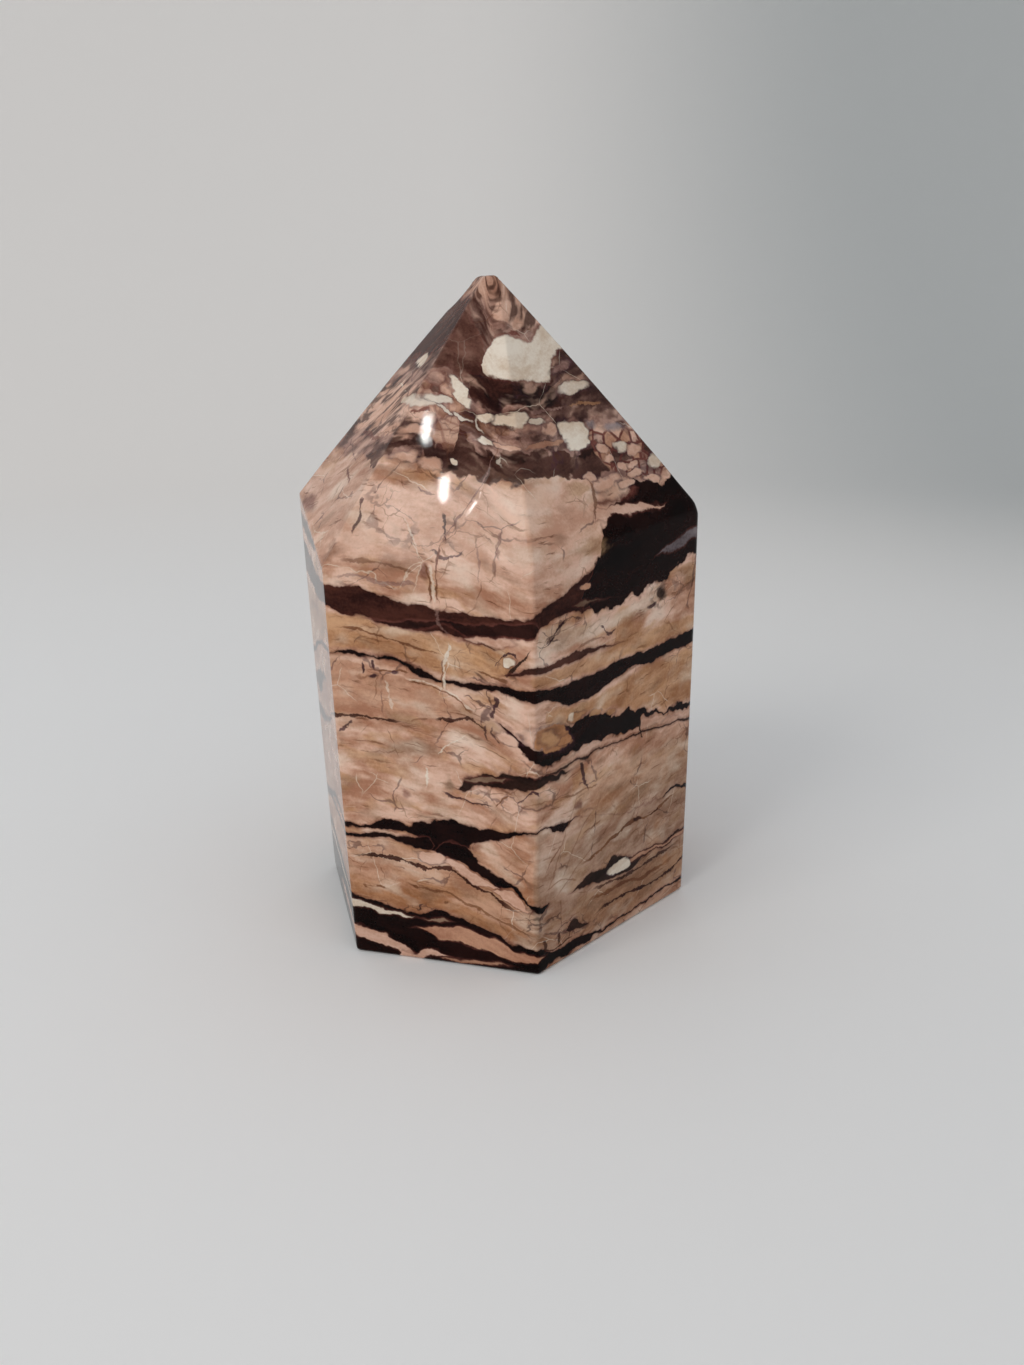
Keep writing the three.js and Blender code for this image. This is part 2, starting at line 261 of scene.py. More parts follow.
# The dark bands, from the shoulder down
DARK_BEDS = (
    Bed("chocolate of the left facet", Tone.CHOCOLATE, ((-230, 88, 80), (-180, 88.6, 80.4),
         (-150, None, 80.6), (-130, 88.4, 81.6), (-114, 87, 83.4)), 0.85, 0.9, ragged=4.0),
    Bed("chocolate of the front of the point", Tone.BROWN, ((-118, 86.6, 80), (-100, 86, 79.4),
         (-88, 84.6, 78.4), (-78, 82.4, 79.8)), 0.75, 0.8, ragged=4.0),
    Bed("shoulder band", Tone.CHOCOLATE, ((-270, 56, 50.4), (-240, 57, 51), (-210, 56, 50.6),
         (-176, 55, 50), (-150, 54, 50), (-130, 53.6, 50.4), (-120, 54.1, 51.3), (-117.5, None, 50.5),
         (-115, 54.4), (-110, 53.6, 50), (-105, 52.9, 49.2), (-100, 52.4, 48.7), (-95, 52.1, 48.5),
         (-90, 51.6), (-85, None, 48.4), (-82.5, None, 48), (-80, 51.4), (-77.5, None, 48.4), (-75, 50.9),
         (-70, 50.7, 48), (-65, 51, 48.2), (-62.5, None, 49.4), (-60, 52.2, 50), (-55, 52.9),
         (-50, 54.4, 50.3), (-45, 55.2, 49.9), (-39, 55.6, 50), (-30, 54, 51), (-10, 54, 52),
         (5, 56, 54.4), (45, 58, 53), (90, 56, 50.4)), ragged=1.4),
    Bed("upper bed of the left side", Tone.NIGHT, ((-200, 60, 57.6), (-176, 59, 56.8), (-150, 58.5, 56.2),
         (-136, 57.4, 56.8)), 0.9, 0.5, ragged=2.0),
    Bed("middle bed of the left side", Tone.NIGHT, ((-230, 35, 33), (-176, 34.6, 32.4), (-160, 37, 33),
         (-150, 37.8, 36.2), (-138, 38.6, 38.2)), 0.9, 0.4, ragged=2.0),
    Bed("low bed of the left side", Tone.NIGHT, ((-220, 29, 27), (-176, 29.8, 27.4), (-160, 30.6, 28.4),
         (-145, 31.7, 30.9), (-130, 34.2, 33.8)), 0.9, 0.4, ragged=2.0),
    Bed("black edge of the shoulder band", Tone.NIGHT, ((-109, 50, 49.8), (-104, 49.9, 49.1),
         (-98, 49.9, 48.6), (-93, 50, 48.9), (-88, 50.2, 49.6), (-80, 50, 48.2), (-70, 50, 48.2),
         (-64, 50.4, 48.6)), 0.85, 0.3),
    Bed("black patch", Tone.NIGHT, ((-46, 53, 50.4), (-43, 54.8, 49.9), (-40, 56.2, 49.2), (-38.7, 56.6),
         (-38.5, 58.6), (-37, 59.6), (-35, None, 49.1), (-33, 60.8), (-30, 62.2, 49.6), (-25, 62.7, 50.2),
         (-20, 63.4), (-17.5, None, 50.3), (-15, 64), (-13, None, 51), (-10, 64.8), (-7.5, 64.8, 51.2),
         (-5, 64.3, 52), (0, 63.8, 53.1), (5, 64.4, 53.6), (30, 63, 54), (60, 57, 54), (66, 55, 54.6)),
        ragged=3.5),
    Bed("tail of the shoulder band", Tone.CHOCOLATE, ((-82.5, 48.2, 47.9), (-77.5, 47.7, 47.2),
         (-74, 47.1, 46.8)), 0.85, 0.15),
    Bed("reddish seam", Tone.CHOCOLATE, ((-71, 43.8, 43.5), (-65, 44.6, 43.6), (-55, 44.8, 43.7),
         (-50, 45.1), (-45, 44.9, 43.9), (-35, 44.5, 44.1), (-28, 44.3, 44.2)), 0.95, 0.2),
    Bed("second band", Tone.NIGHT, ((-270, 42.4, 41), (-240, 41.4, 40.2), (-210, 39.4, 38.4),
         (-176, 38.6, 37.6), (-155, 42, 41.2), (-145, 43.3, 42.6), (-125, 45, 44.4), (-119.5, 45.3, 45),
         (-115.5, 45.8, 45), (-110, 45.3, 44.9), (-105, 45.1, 44.5), (-100, 44.5, 43.8),
         (-97.5, None, 43.1), (-95, 43.7, 42.4), (-92.5, 43), (-90, 42.7, 42), (-85, 42.5, 41.7),
         (-80, 42.2, 41.2), (-75, 42.2, 41.3), (-71, 42.4), (-70, None, 40.8), (-67.5, 41.7),
         (-65, None, 40), (-62.5, 41.6), (-60, None, 39.6), (-57.5, 41.2, 39.1), (-55, None, 38.4),
         (-52.5, None, 38.1), (-50, 41.3), (-45, None, 38), (-40, 41.5, 38.2), (-35, None, 38.8),
         (-30, 41.8, 39.2), (-25, None, 39.8), (-20, 42, 40), (-15, None, 39.7), (-10, 42.2, 39.8),
         (-5, None, 40.2), (0, 42.5, 40.3), (30, 43, 42), (60, 43, 41.8), (90, 42.4, 41))),
    Bed("bending band", Tone.NIGHT, ((-270, 34, 31), (-240, 32.4, 30.4), (-205, 30.2, 29.8),
         (-190, 29.8, 30), (-180, 29.4, 30), (-170, 29.2, 30), (-120, 32, 33), (-76, 37, 37.4),
         (-73.5, 37.2), (-72.5, None, 36.6), (-70, 36.2), (-69, None, 34.6), (-67.5, 35, 33),
         (-65, 33.8, 31.8), (-62.5, 33.4, 31), (-59, 33), (-57.5, None, 30.7), (-55, 35.8),
         (-52.5, None, 31), (-50, 35.7, 30.8), (-45, 35.7, 31.3), (-40, 35.4, 31.4), (-37.5, 35),
         (-30, 34.2, 31), (-20, 33.8), (-18.5, None, 31), (-17.2, None, 32.1), (-15, 33),
         (-10, 32.5, 31.6), (-5, 31.7), (-3, None, 31), (0, 31.9), (5, 31.2, 30.3), (30, 31.6, 30.2),
         (60, 33, 30.6), (90, 34, 31)), ragged=2.4),
    Bed("line under the bending band", Tone.NIGHT, ((-66, 29.7, 29.2), (-55, 29.8, 29.2),
         (-50, 30.2, 29.7), (-46, 29.9, 29.3), (-40, 30.5, 30.1), (-30, 30.1, 29.7), (-20, 30, 29.5),
         (-10, 29.8, 29.3), (0, 29.4, 28.9), (5, 29.1, 28.4), (30, 28.6, 28.2), (60, 28, 27.8)), 0.9, 0.2),
    Bed("dark lens", Tone.NIGHT, ((-86, 27.3, 27), (-84, 28.6), (-80, 29.4, 27.8), (-75, 29.8, 27.8),
         (-70, 30), (-67.5, None, 27.6), (-65, 29.6), (-62.5, None, 28.1), (-58, 29.4), (-57, None, 28.2),
         (-52, 28.9, 28.7)), 0.95, 0.25, ragged=2.0),
    Bed("wedge", Tone.NIGHT, ((-270, 20.4, 17.4), (-240, 18.6, 16.4), (-210, 16, 14.6), (-176, 15, 13.6),
         (-155, 18.4, 17.2), (-140, 20.2, 19.2), (-120, 20.8, 20), (-118, 20.5), (-115.5, 20.6),
         (-110, 21.7, 20), (-107.5, 21.9), (-104, 21.2, 19.9), (-102.5, 20.9), (-100, 21.7),
         (-99.5, None, 19.5), (-97.5, None, 17.6), (-95, 22.3, 17.5), (-92, None, 16.8), (-90, 22.8),
         (-88.3, 22.9), (-88, None, 17.2), (-85, 22.2), (-84.5, None, 18.4), (-82.6, None, 19.4),
         (-80, 21.9, 19.8), (-75, 21.7, 20.2), (-70, None, 20.9), (-67.5, 21.8), (-65.5, 21.9),
         (-65, None, 21.5), (-61, 21.9), (-60, None, 21.4), (-57, None, 20.2), (-55, 21.6, 19.9),
         (-52.5, None, 20.7), (-48, 21.4, 21.3), (-30, 19, 19), (-5, 18, 17.9), (-3.5, 18.5, 17.9),
         (2, 18.9, 18.2), (5, 18.4, 17.6), (30, 18.6, 17.4), (60, 19.6, 17.4), (90, 20.4, 17.4)),
        ragged=1.6),
    Bed("lower limb of the wedge", Tone.NIGHT, ((-93, 18.6, 16.6), (-90, None, 16.8), (-88, 19.4),
         (-85, None, 16), (-84.5, 19.2), (-82.5, 17.9), (-80, 16.4, 14.6), (-77.5, 15.5, 13.9),
         (-75, None, 12.9), (-73, 14.7), (-71, None, 13), (-70, 13.7, 12.5), (-67.5, 12, 11.1),
         (-66.5, 11.1), (-65, None, 9.9), (-63.5, 10.9), (-63, None, 9.9), (-61, 10.8, 10.2)), ragged=2.0),
    Bed("band under the pale stripe", Tone.NIGHT, ((-180, 14, 13.2), (-160, 17, 16), (-140, 18, 17.2),
         (-120, 19.1, 18.3), (-115, None, 18.6), (-110, 19.6, 18.7), (-105, 19.4, 18.3),
         (-100, 19.7, 17.9), (-97, None, 17.5), (-96, 19.8, 17.6))),
    Bed("lower dark band", Tone.NIGHT, ((-270, 6.4, 3), (-240, 7, 1), (-210, 9, -1), (-176, 10.4, -2),
         (-150, 10.4, -2), (-120, 9.4, -2), (-115, 9), (-110, 8.1), (-102.5, 7.7), (-95, 8.4, -2),
         (-90, 7.7), (-85, 7.4), (-80, 6.5, -2), (-75, 5.7), (-70, 4.6), (-66, None, -1), (-65, 4.2),
         (-62.5, 4), (-62, None, 0.6), (-60, 2.8, 1), (-55, 2.4, 0.4), (-50, 2.5, 1.1), (-45, 2.4),
         (-42.5, None, 0.4), (-40, 1.8, 1.1), (-30, 1.9, 1.3), (-20, 1.9, 1.4), (-10, 2.1, 1.6), (-5, 2.3),
         (5, 2.7, 2.1), (30, 4, 2.4), (60, 5.4, 3), (90, 6.4, 3)), ragged=1.6),
    Bed("lens band of the right side", Tone.NIGHT, ((-50.5, 10.3, 10), (-47.5, 11.2), (-42.5, None, 9.9),
         (-40, 11.9), (-35, 11.4, 9.1), (-31, 12.7), (-30, None, 8.6), (-28.5, 12.2), (-25, 11.5),
         (-22.5, None, 8.5), (-20, 10.9), (-15, None, 9.3), (-10, 10.6), (-5, 10.4, 9.4), (0, None, 9.3),
         (5, 11, 10), (30, 10.4, 9.6), (50, 9.8, 9.4)), 0.95, ragged=1.6),
    Bed("small wedge of the right side", Tone.NIGHT, ((-52.5, 5.3, 3.8), (-50, 5.9, 3.9), (-47.5, 4.9),
         (-45, None, 3.8), (-43, 4.1, 3.9)), 0.9),
)

# Pale lenses and clasts that lie over the dark bands
PALE_BEDS = (
    Bed("pale lens in the black patch", Tone.PINK, ((-38, 61.3, 60.5), (-35, 62.2), (-33, None, 60.7),
         (-32.5, 62.1), (-30, None, 61), (-27.5, 62.4), (-20, 62.3, 61), (-14, 62.3), (-12, 61.7, 60.9),
         (-6, 61.3, 60.9)), 0.85, ragged=2.0),
    Bed("cleft above the pale lens", Tone.MAROON, ((-33, 63.4, 62.5), (-25, 63.2, 62.6), (-18, 63.6, 62.8),
         (-13, 64, 63.4)), 0.7, 0.4),
    Bed("grey lens at the right edge", Tone.BLUE, ((-11.5, 54.9, 54.6), (-5, 56.2, 54.5), (0, 56.9, 55),
         (5, 57.2, 55.8), (14, 57, 56.4)), 0.6, 0.4, ragged=1.6),
    Bed("big cream clast", Tone.CREAM, ((-79, 80.2, 80), (-76.5, None, 78.9), (-76, 81.5),
         (-71, 82.6, 78.2), (-65, 83.3), (-62.5, None, 77.9), (-55, 83.4), (-50, None, 77.8), (-42, 83),
         (-37.5, None, 77.4), (-30, 82.8, 77.6), (-25, None, 78.6), (-20, 83.4), (-17.5, None, 79.9),
         (-10, 84.2, 80.6), (0, 84.6, 81.3), (14, 84, 82)), 0.95, 0.4, ragged=0.8),
    Bed("pink white of the left", Tone.CREAM, ((-135, 76.4, 75), (-122, 76.4, 75), (-110, 76.2, 75),
         (-103, 75.8, 75.4)), 0.75, 0.4),
    Bed("second lens under the wedge", Tone.PINK, ((-91, 16.4, 16), (-90, 16.8), (-88, None, 15),
         (-85, 15.8), (-84, None, 13.6), (-82.5, None, 13), (-80, 14.5), (-75.5, 13.3, 12.9)), 0.85),
    Bed("third lens under the wedge", Tone.PINK, ((-77, 12.6, 12.4), (-75, 12.9), (-72, None, 11),
         (-71, 12.8), (-70, None, 10.3), (-68, 11.3), (-67, 10.4, 9.9)), 0.95),
    Bed("pink patch below the pale streaks", Tone.PINK, ((-82, 48.4, 47.9), (-77, 48.5, 47.4),
         (-70, 48, 47)), 0.75, 0.3),
    Bed("pale streak in the dark lens", Tone.GREY, ((-83, 28.8, 28.4), (-78, 29.3, 28.4),
         (-73, 29.2, 28.8)), 0.85, 0.2),
    Bed("pale stripe under the bending band", Tone.PINK, ((-60, 30.6, 29.9), (-52, 30.7, 30.1),
         (-45, 31.2, 30), (-40, 31.3, 30.6), (-30, 30.9, 30.2), (-20, None, 30.1), (-18.6, 30.9),
         (-17.4, 31.9), (-10, 31.5, 30), (0, 30.5, 29.6), (5, 30.2, 29.2)), 0.5, 0.25),
    Bed("cream stripe in the lower band", Tone.CREAM, ((-176, 8, 7.2), (-150, 8.6, 7.6), (-120, 8.6, 7.3),
         (-115, 8.1, 7.2), (-110, 7.5, 6.8), (-106, 7.3, 6.7), (-103, 7.1, 6.9)), 0.85, 0.2),
    Bed("thin pale streak in the lower band", Tone.GREY, ((-98.5, 6.9, 6.7), (-95, 7.1, 6.5),
         (-92, 7, 6.7)), 0.8, 0.15),
    Bed("tan lens in the lower band", Tone.ROSE, ((-101, 5.5, 5.3), (-99, None, 5), (-95, None, 3.8),
         (-92.5, 5.8), (-90, None, 3.6), (-87.5, 6.2), (-85, 6.2), (-80, 5.2, 2.9), (-75, 4.8, 2.3),
         (-70, 3.6, 1.6), (-67, 3.3, 1.7), (-63, 3, 2.5)), 0.95),
    Bed("left lens at the foot", Tone.PINK, ((-150, 5, 3.6), (-120, 4.4, 2.6), (-115, 4.3, 1.9),
         (-110, 3.4, 1.2), (-107.5, 2.4), (-107, None, 0.6), (-104, 1.4, 1)), 0.85, ragged=2.0),
    Bed("second lens at the foot", Tone.PINK, ((-107, 1.2, -1), (-103, 1.2, -0.4), (-98, 2, 0.8),
         (-95, 1.9, 0.9), (-92, 1.2, 1)), 0.85, ragged=2.0),
    Bed("brown lens at the foot", Tone.ROSE, ((-93, 1, 0.6), (-85, 0.9, 0.2), (-78, 1.1, 0.5),
         (-73, 1.1, 0.9)), 0.7, 0.25),
    Bed("pale stripe beyond the lens", Tone.ROSE, ((-21, 10.6, 9.8), (-10, 10.3, 9.7), (-2, 10, 9.6),
         (2, 10.4, 9.7), (8, 10.6, 10.2)), 0.8),
    Bed("grey streak in the black patch", Tone.GREY, ((-49.5, 51.4, 50.9), (-46, 51.6, 50.8),
         (-43, 51.2, 50.8), (-38, 51, 50.9)), 0.6, 0.25),
)

# Thin lines that run with the beds
SEAMS = (
    Seam("brown line under the shoulder band", Tone.UMBER, ((-120, 48.8), (-112.5, 48.6), (-105, 47.5),
         (-100, 46.7), (-95, 46.1), (-87.5, 46)), 0.3),
    Seam("line through the plum spots", Tone.UMBER, ((-109, 42.9), (-103, 43.1), (-98, 43.1)), 0.25),
    Seam("brown diagonal", Tone.UMBER, ((-101, 42.1), (-95, 41.6), (-90, 41), (-85, 39.9), (-82.5, 38.7),
         (-78.5, 37.9)), 0.3),
    Seam("pale edge of the diagonal", Tone.CREAM, ((-101, 42.4), (-95, 41.95), (-90, 41.3), (-85, 40.25),
         (-82.5, 39.1), (-78.5, 38.3)), 0.3, 0.5),
    Seam("fourth line", Tone.CHOCOLATE, ((-135, 33.5), (-120, 36.4), (-115, 36.6), (-105, 36.2),
         (-100, 36.3)), 0.4),
    Seam("fourth line, faint", Tone.UMBER, ((-100, 36.3), (-97, 36.7), (-93.5, 36.9)), 0.25, 0.6),
    Seam("fourth line, thick", Tone.CHOCOLATE, ((-93, 36.9), (-90, 36.8), (-85, 37.2), (-82.5, 37.4),
         (-80, 37.1), (-77.5, 36), (-76, 35)), 0.55),
    Seam("ochre line by the eye", Tone.UMBER, ((-79, 44), (-76, 43.5), (-72, 42.9), (-70, 42.6)), 0.3),
    Seam("dark ring over the eye", Tone.PLUM, ((-74, 44.5), (-72.5, 45.4), (-71.5, 46), (-70, 46.4),
         (-68.8, 46.1), (-67.8, 45.2)), 0.35, 0.9),
    Seam("vein from the eye", Tone.NIGHT, ((-71.8, 43.5), (-70.5, 43.7), (-69, 44.4), (-67.5, 45.3),
         (-66, 46), (-64.5, 47.2)), 0.5),
    Seam("brown line over the shoulder band", Tone.UMBER, ((-118, 57.5), (-112, 57.2), (-106, 57),
         (-100, 56.6), (-94, 55.8)), 0.35, 0.7),
    Seam("second brown line over the band", Tone.MAUVE, ((-119, 55.2), (-112, 55.4), (-104, 54.6),
         (-98, 54.8), (-94, 54.2)), 0.5, 0.7),
    Seam("plum line of the point", Tone.MAUVE, ((-102, 66), (-98, 65.4), (-93.5, 65)), 0.35),
    Seam("flat vein of the point", Tone.PLUM, ((-93.5, 58.5), (-92, 58.8), (-89.5, 58.2), (-87.5, 58.1),
         (-83, 58.5), (-81.4, 59.3)), 0.3, 0.8),
    Seam("dark line of the left pink", Tone.MAROON, ((-118, 74.6), (-114, 74.5), (-110, 74.7),
         (-107, 74.2)), 0.4),
    Seam("maroon line over the clast", Tone.MAROON, ((-53, 83.6), (-45, 83.6), (-38, 83.3), (-36, 83.2)),
        0.45),
    Seam("tan line of the right point", Tone.TAN, ((-26, 74.5), (-15, 74.6), (-5, 74.4), (0, 74.5)), 0.3,
        0.6),
    Seam("pale line of the point", Tone.MAUVE, ((-55, 73.9), (-45, 74.2), (-35, 74.3), (-27, 74.6)), 0.3,
        0.7),
    Seam("purple line, low", Tone.PLUM, ((-92, 27), (-88, 26.1), (-84, 25.9), (-81, 25.5), (-78, 25.3),
         (-75, 25.2)), 0.45),
    Seam("brown crack, low", Tone.UMBER, ((-75.5, 25), (-74, 25.8), (-73, 26.4), (-71, 27.1)), 0.3),
    Seam("dark vein by the front edge", Tone.PLUM, ((-69.5, 26), (-67.5, 26.4), (-66, 27.2), (-64.5, 27.7),
         (-62.6, 26.8)), 0.4),
    Seam("thin dark line", Tone.CHOCOLATE, ((-122, 15.8), (-115, 16), (-105, 15.9), (-100, 15.2),
         (-97.5, 14.8), (-92.5, 15.1), (-90, 15), (-87.5, 14.6), (-85, 13.7), (-82.5, 12.9), (-80, 12.4),
         (-77.5, 12), (-75, 11.2), (-70, 9.8), (-65.5, 8.9)), 0.6, 0.95),
    Seam("second thin line", Tone.UMBER, ((-104, 12), (-100, 11.9), (-95, 11.4), (-92.5, 11.5), (-85, 10),
         (-80, 9.3), (-75, 8.1), (-70, 7.1), (-66, 6.2), (-62.5, 6.3)), 0.35, 0.85),
    Seam("long line of the right side", Tone.UMBER, ((-50, 13.6), (-40, 14.4), (-30, 15.7), (-20, 16.6),
         (-15, 16.3), (-12.5, 16), (-7.5, 16.5), (5, 18)), 0.5, 0.95),
    Seam("dark stretch of the long line", Tone.CHOCOLATE, ((-20.5, 16.6), (-18, 16.6), (-14.5, 16.2)),
        0.35),
    Seam("second dark stretch", Tone.CHOCOLATE, ((-11.5, 16), (-9, 16.3), (-6.5, 16.7)), 0.3),
    Seam("low line of the right side", Tone.UMBER, ((-46, 7.2), (-42.5, 7.4), (-30, 7.1), (-20, 6.8),
         (-15, 6.2), (-7.5, 6.4), (5, 7)), 0.55, 0.95),
    Seam("upper foot line of the right side", Tone.CHOCOLATE, ((-44, 8.8), (-34, 8.7), (-24, 8),
         (-14, 8.3), (-4, 8.6), (5, 9)), 0.5, 0.9),
    Seam("lowest line of the right side", Tone.CHOCOLATE, ((-42.5, 4.6), (-32.5, 5.1), (-20, 4.8),
         (-10, 4.3), (0, 4.9), (5, 5.6), (20, 6)), 0.6, 1.0),
    Seam("brown crack of the right side", Tone.UMBER, ((-57.5, 26), (-52.5, 25.2), (-45, 24.9),
         (-38, 24.9)), 0.3, 0.7),
    Seam("lower brown crack", Tone.UMBER, ((-62, 15), (-60, 16.4), (-57.5, 17.6), (-55, 18.5)), 0.3, 0.7),
    Seam("arching crack", Tone.UMBER, ((-62, 12.2), (-56, 13), (-52, 12.4), (-48, 11.6)), 0.25, 0.6),
    Seam("plum line over the cream bed", Tone.PLUM, ((-64, 47.5), (-61, 47), (-59, 47.3), (-57.5, 48.4),
         (-55.5, 49.3), (-52.5, 50)), 0.3, 0.8),
    Seam("second plum line over the cream bed", Tone.PLUM, ((-62.6, 49.4), (-60, 48.6), (-58.6, 47.6),
         (-57, 48.6), (-53, 49.9), (-49, 49.6), (-46, 49.2)), 0.3, 0.7),
    Seam("plum streak of the right side", Tone.PLUM, ((-39.5, 47.4), (-37.5, 47.1), (-36, 46.3),
         (-33.5, 46.1), (-30.5, 46.6)), 0.4, 0.85),
    Seam("red line above the reddish seam", Tone.UMBER, ((-50, 45.3), (-45, 45.6), (-40, 45.8),
         (-35, 45.4)), 0.3, 0.6),
    Seam("ladder foot", Tone.CHOCOLATE, ((-63, 3.9), (-60, 3), (-56, 2.9), (-53, 3.2), (-50, 3.2)), 0.4),
    Seam("left point line", Tone.MAROON, ((-150, 66.8), (-146, 66.2), (-141, 65.6), (-137, 65.2)), 0.4,
        0.8),
    Seam("upper streak of the left band", Tone.MAROON, ((-162, 70.8), (-152, 70.9), (-142, 70.6),
         (-132, 71)), 0.5, 0.7),
    Seam("brown bed of the left side", Tone.UMBER, ((-176, 44), (-160, 47), (-148, 47.2), (-136, 47.4)),
        0.8, 0.6, 0.4),
)


def steep(name: str, tone: Tone, path: Line, width: float, strength: float, softness: float,
          depth: float = 0.0) -> Seam:
    """A steep crack or vein.

    Args:
        name: What it is.
        tone: Its tone.
        path: Its points, as pairs of height and direction.
        width: Its width in millimetres.
        strength: How strong it is.
        softness: How soft its edges are.
        depth: How deep it is cut.

    Returns:
        The line.
    """
    return Seam(name, tone, path, width, strength, softness, Along.HEIGHT, depth)


# Steep cracks and veins
CRACKS = (
    steep("left groove", Tone.UMBER, ((51.9, -91.8), (54, -91.9), (55.2, -91.8), (56.4, -92.4),
         (57.6, -93.3)), 0.24, 0.9, 0.12, 0.1),
    steep("right groove", Tone.UMBER, ((51.8, -89.7), (54, -90.1), (56, -89.9), (58.4, -90), (60, -89.2)),
        0.24, 0.9, 0.12, 0.1),
    steep("pale ridge between the grooves", Tone.CREAM, ((51.9, -90.8), (54, -91), (56.4, -91.2),
         (57.6, -91.6)), 0.45, 0.6, 0.2),
    steep("crack across the shoulder band", Tone.MAUVE, ((48.1, -87.2), (49, -88.6), (49.8, -90),
         (51, -90.2), (51.8, -89.8)), 0.45, 0.5, 0.3, 0.06),
    steep("pale crack", Tone.CREAM, ((40.9, -88.6), (42, -88.7), (43, -88.4), (44.2, -88.6), (45.4, -88.2),
         (46.2, -87.4), (47, -87), (48, -87.9)), 0.42, 0.75, 0.15, 0.1),
    steep("dark side of the pale crack", Tone.UMBER, ((41, -89.1), (42.4, -89.2), (43.6, -88.9),
         (44.8, -88.9), (45.6, -88.5)), 0.2, 0.8, 0.12),
    steep("long hairline", Tone.MAUVE, ((55.3, -89.8), (58.5, -90), (60.2, -88), (62, -85.2),
         (64.8, -80.2), (67.5, -75.2), (70.5, -71.5)), 0.24, 0.8, 0.12, 0.05),
    steep("upper plum vein", Tone.PLUM, ((59.6, -87.4), (60.4, -88.2), (61.4, -88.5), (62.2, -89),
         (63, -90.4)), 0.35, 0.85, 0.15),
    steep("pale groove of the point", Tone.CREAM, ((56.8, -93.4), (59.5, -97.4), (61.8, -102), (63, -105)),
        0.3, 0.5, 0.15, 0.05),
    steep("pink crack by the front edge", Tone.MAROON, ((58, -71.6), (59.2, -72.2), (60.4, -71.6),
         (61.4, -71)), 0.5, 0.6, 0.35),
    steep("crack right of the grooves", Tone.MAUVE, ((55, -77.4), (57.4, -77.4), (58.6, -78), (60, -79)),
        0.3, 0.55, 0.2, 0.05),
    steep("left plum vein", Tone.PLUM, ((60, -116.4), (60.6, -117.4), (61.8, -116.6), (63, -118),
         (64.6, -119.6)), 0.4, 0.8, 0.2),
    steep("plum vein under the second band", Tone.PLUM, ((37.2, -74.9), (38, -75.1), (39, -74.2),
         (40, -73.8), (41, -74.6)), 0.45, 0.9, 0.15),
    steep("first root under the plum vein", Tone.PLUM, ((34.2, -76), (35, -76.8), (36, -77.2),
         (36.8, -76.4)), 0.3, 0.75, 0.2),
    steep("second root under the plum vein", Tone.PLUM, ((33.9, -73), (35, -74.4), (35.8, -75.4),
         (36.6, -74.6)), 0.3, 0.75, 0.2),
    steep("plum stroke left", Tone.PLUM, ((34, -119.6), (35, -118), (36.2, -116.4)), 0.5, 0.85, 0.2),
    steep("short pale scratch", Tone.CREAM, ((27, -95.9), (28.5, -95.5), (30.2, -95.2)), 0.3, 0.8, 0.12,
        0.06),
    steep("long pale scratch", Tone.CREAM, ((31.8, -91.5), (33.2, -88.6), (34.4, -85), (35.4, -82)), 0.28,
        0.75, 0.12, 0.06),
    steep("faint pale crack", Tone.CREAM, ((37.4, -104.8), (39, -105), (41, -105.6), (42, -106)), 0.3,
        0.45, 0.15, 0.04),
    steep("plum vein of the right side", Tone.PLUM, ((24.3, -43.6), (25.2, -44.6), (26, -45.4),
         (27.4, -46.2), (28.4, -46.8), (29.6, -48.2)), 0.55, 0.9, 0.2),
    steep("cross crack of the bending band", Tone.NIGHT, ((28.6, -16.4), (29.6, -17), (31, -17.8),
         (32.2, -17.6)), 0.4, 0.9, 0.15),
    steep("edge of the big pale area", Tone.UMBER, ((60.5, -38.5), (62, -36), (63, -34.5), (64, -33.9),
         (65, -33.5), (66, -35)), 0.6, 0.75, 0.3),
    steep("fine diagonal of the right side", Tone.UMBER, ((11, -61), (15, -58), (19, -54.6), (23, -50.6),
         (26, -48)), 0.25, 0.5, 0.2),
    steep("second fine diagonal", Tone.UMBER, ((12.6, -56), (16, -51.6), (19.4, -46), (22, -40)), 0.25,
        0.45, 0.2),
    steep("third fine diagonal", Tone.UMBER, ((10.4, -58), (13.4, -50), (15.8, -41), (17.6, -32)), 0.3,
        0.5, 0.2),
    steep("vein from the tan lens", Tone.PLUM, ((8, -100.5), (8.8, -100.6), (9.4, -99.5)), 0.4, 0.8, 0.2),
    *(steep(f"rung {i}", Tone.CHOCOLATE, tuple(zip((3, 4, 5.2), directions)), 0.4, 0.85, 0.15)
      for i, directions in enumerate(((-62, -61.8, -62.2), (-57, -56.4, -56.2), (-52.4, -52.2, -52)), 1)),
)


def alike(name: str, tone: Tone, strength: float, softness: float,
          *places: tuple[float, ...]) -> tuple[Spot, ...]:
    """Spots of one kind.

    Args:
        name: What each is.
        tone: Their tone.
        strength: How strong they are.
        softness: How soft their edges are.
        *places: The direction, the height, the two half sizes and the rise per degree of each.

    Returns:
        The spots.
    """
    return tuple(Spot(f"{name} {i}", tone, (direction, height), (wide, tall), strength, softness, tilt)
                 for i, (direction, height, wide, tall, tilt) in enumerate(places, 1))


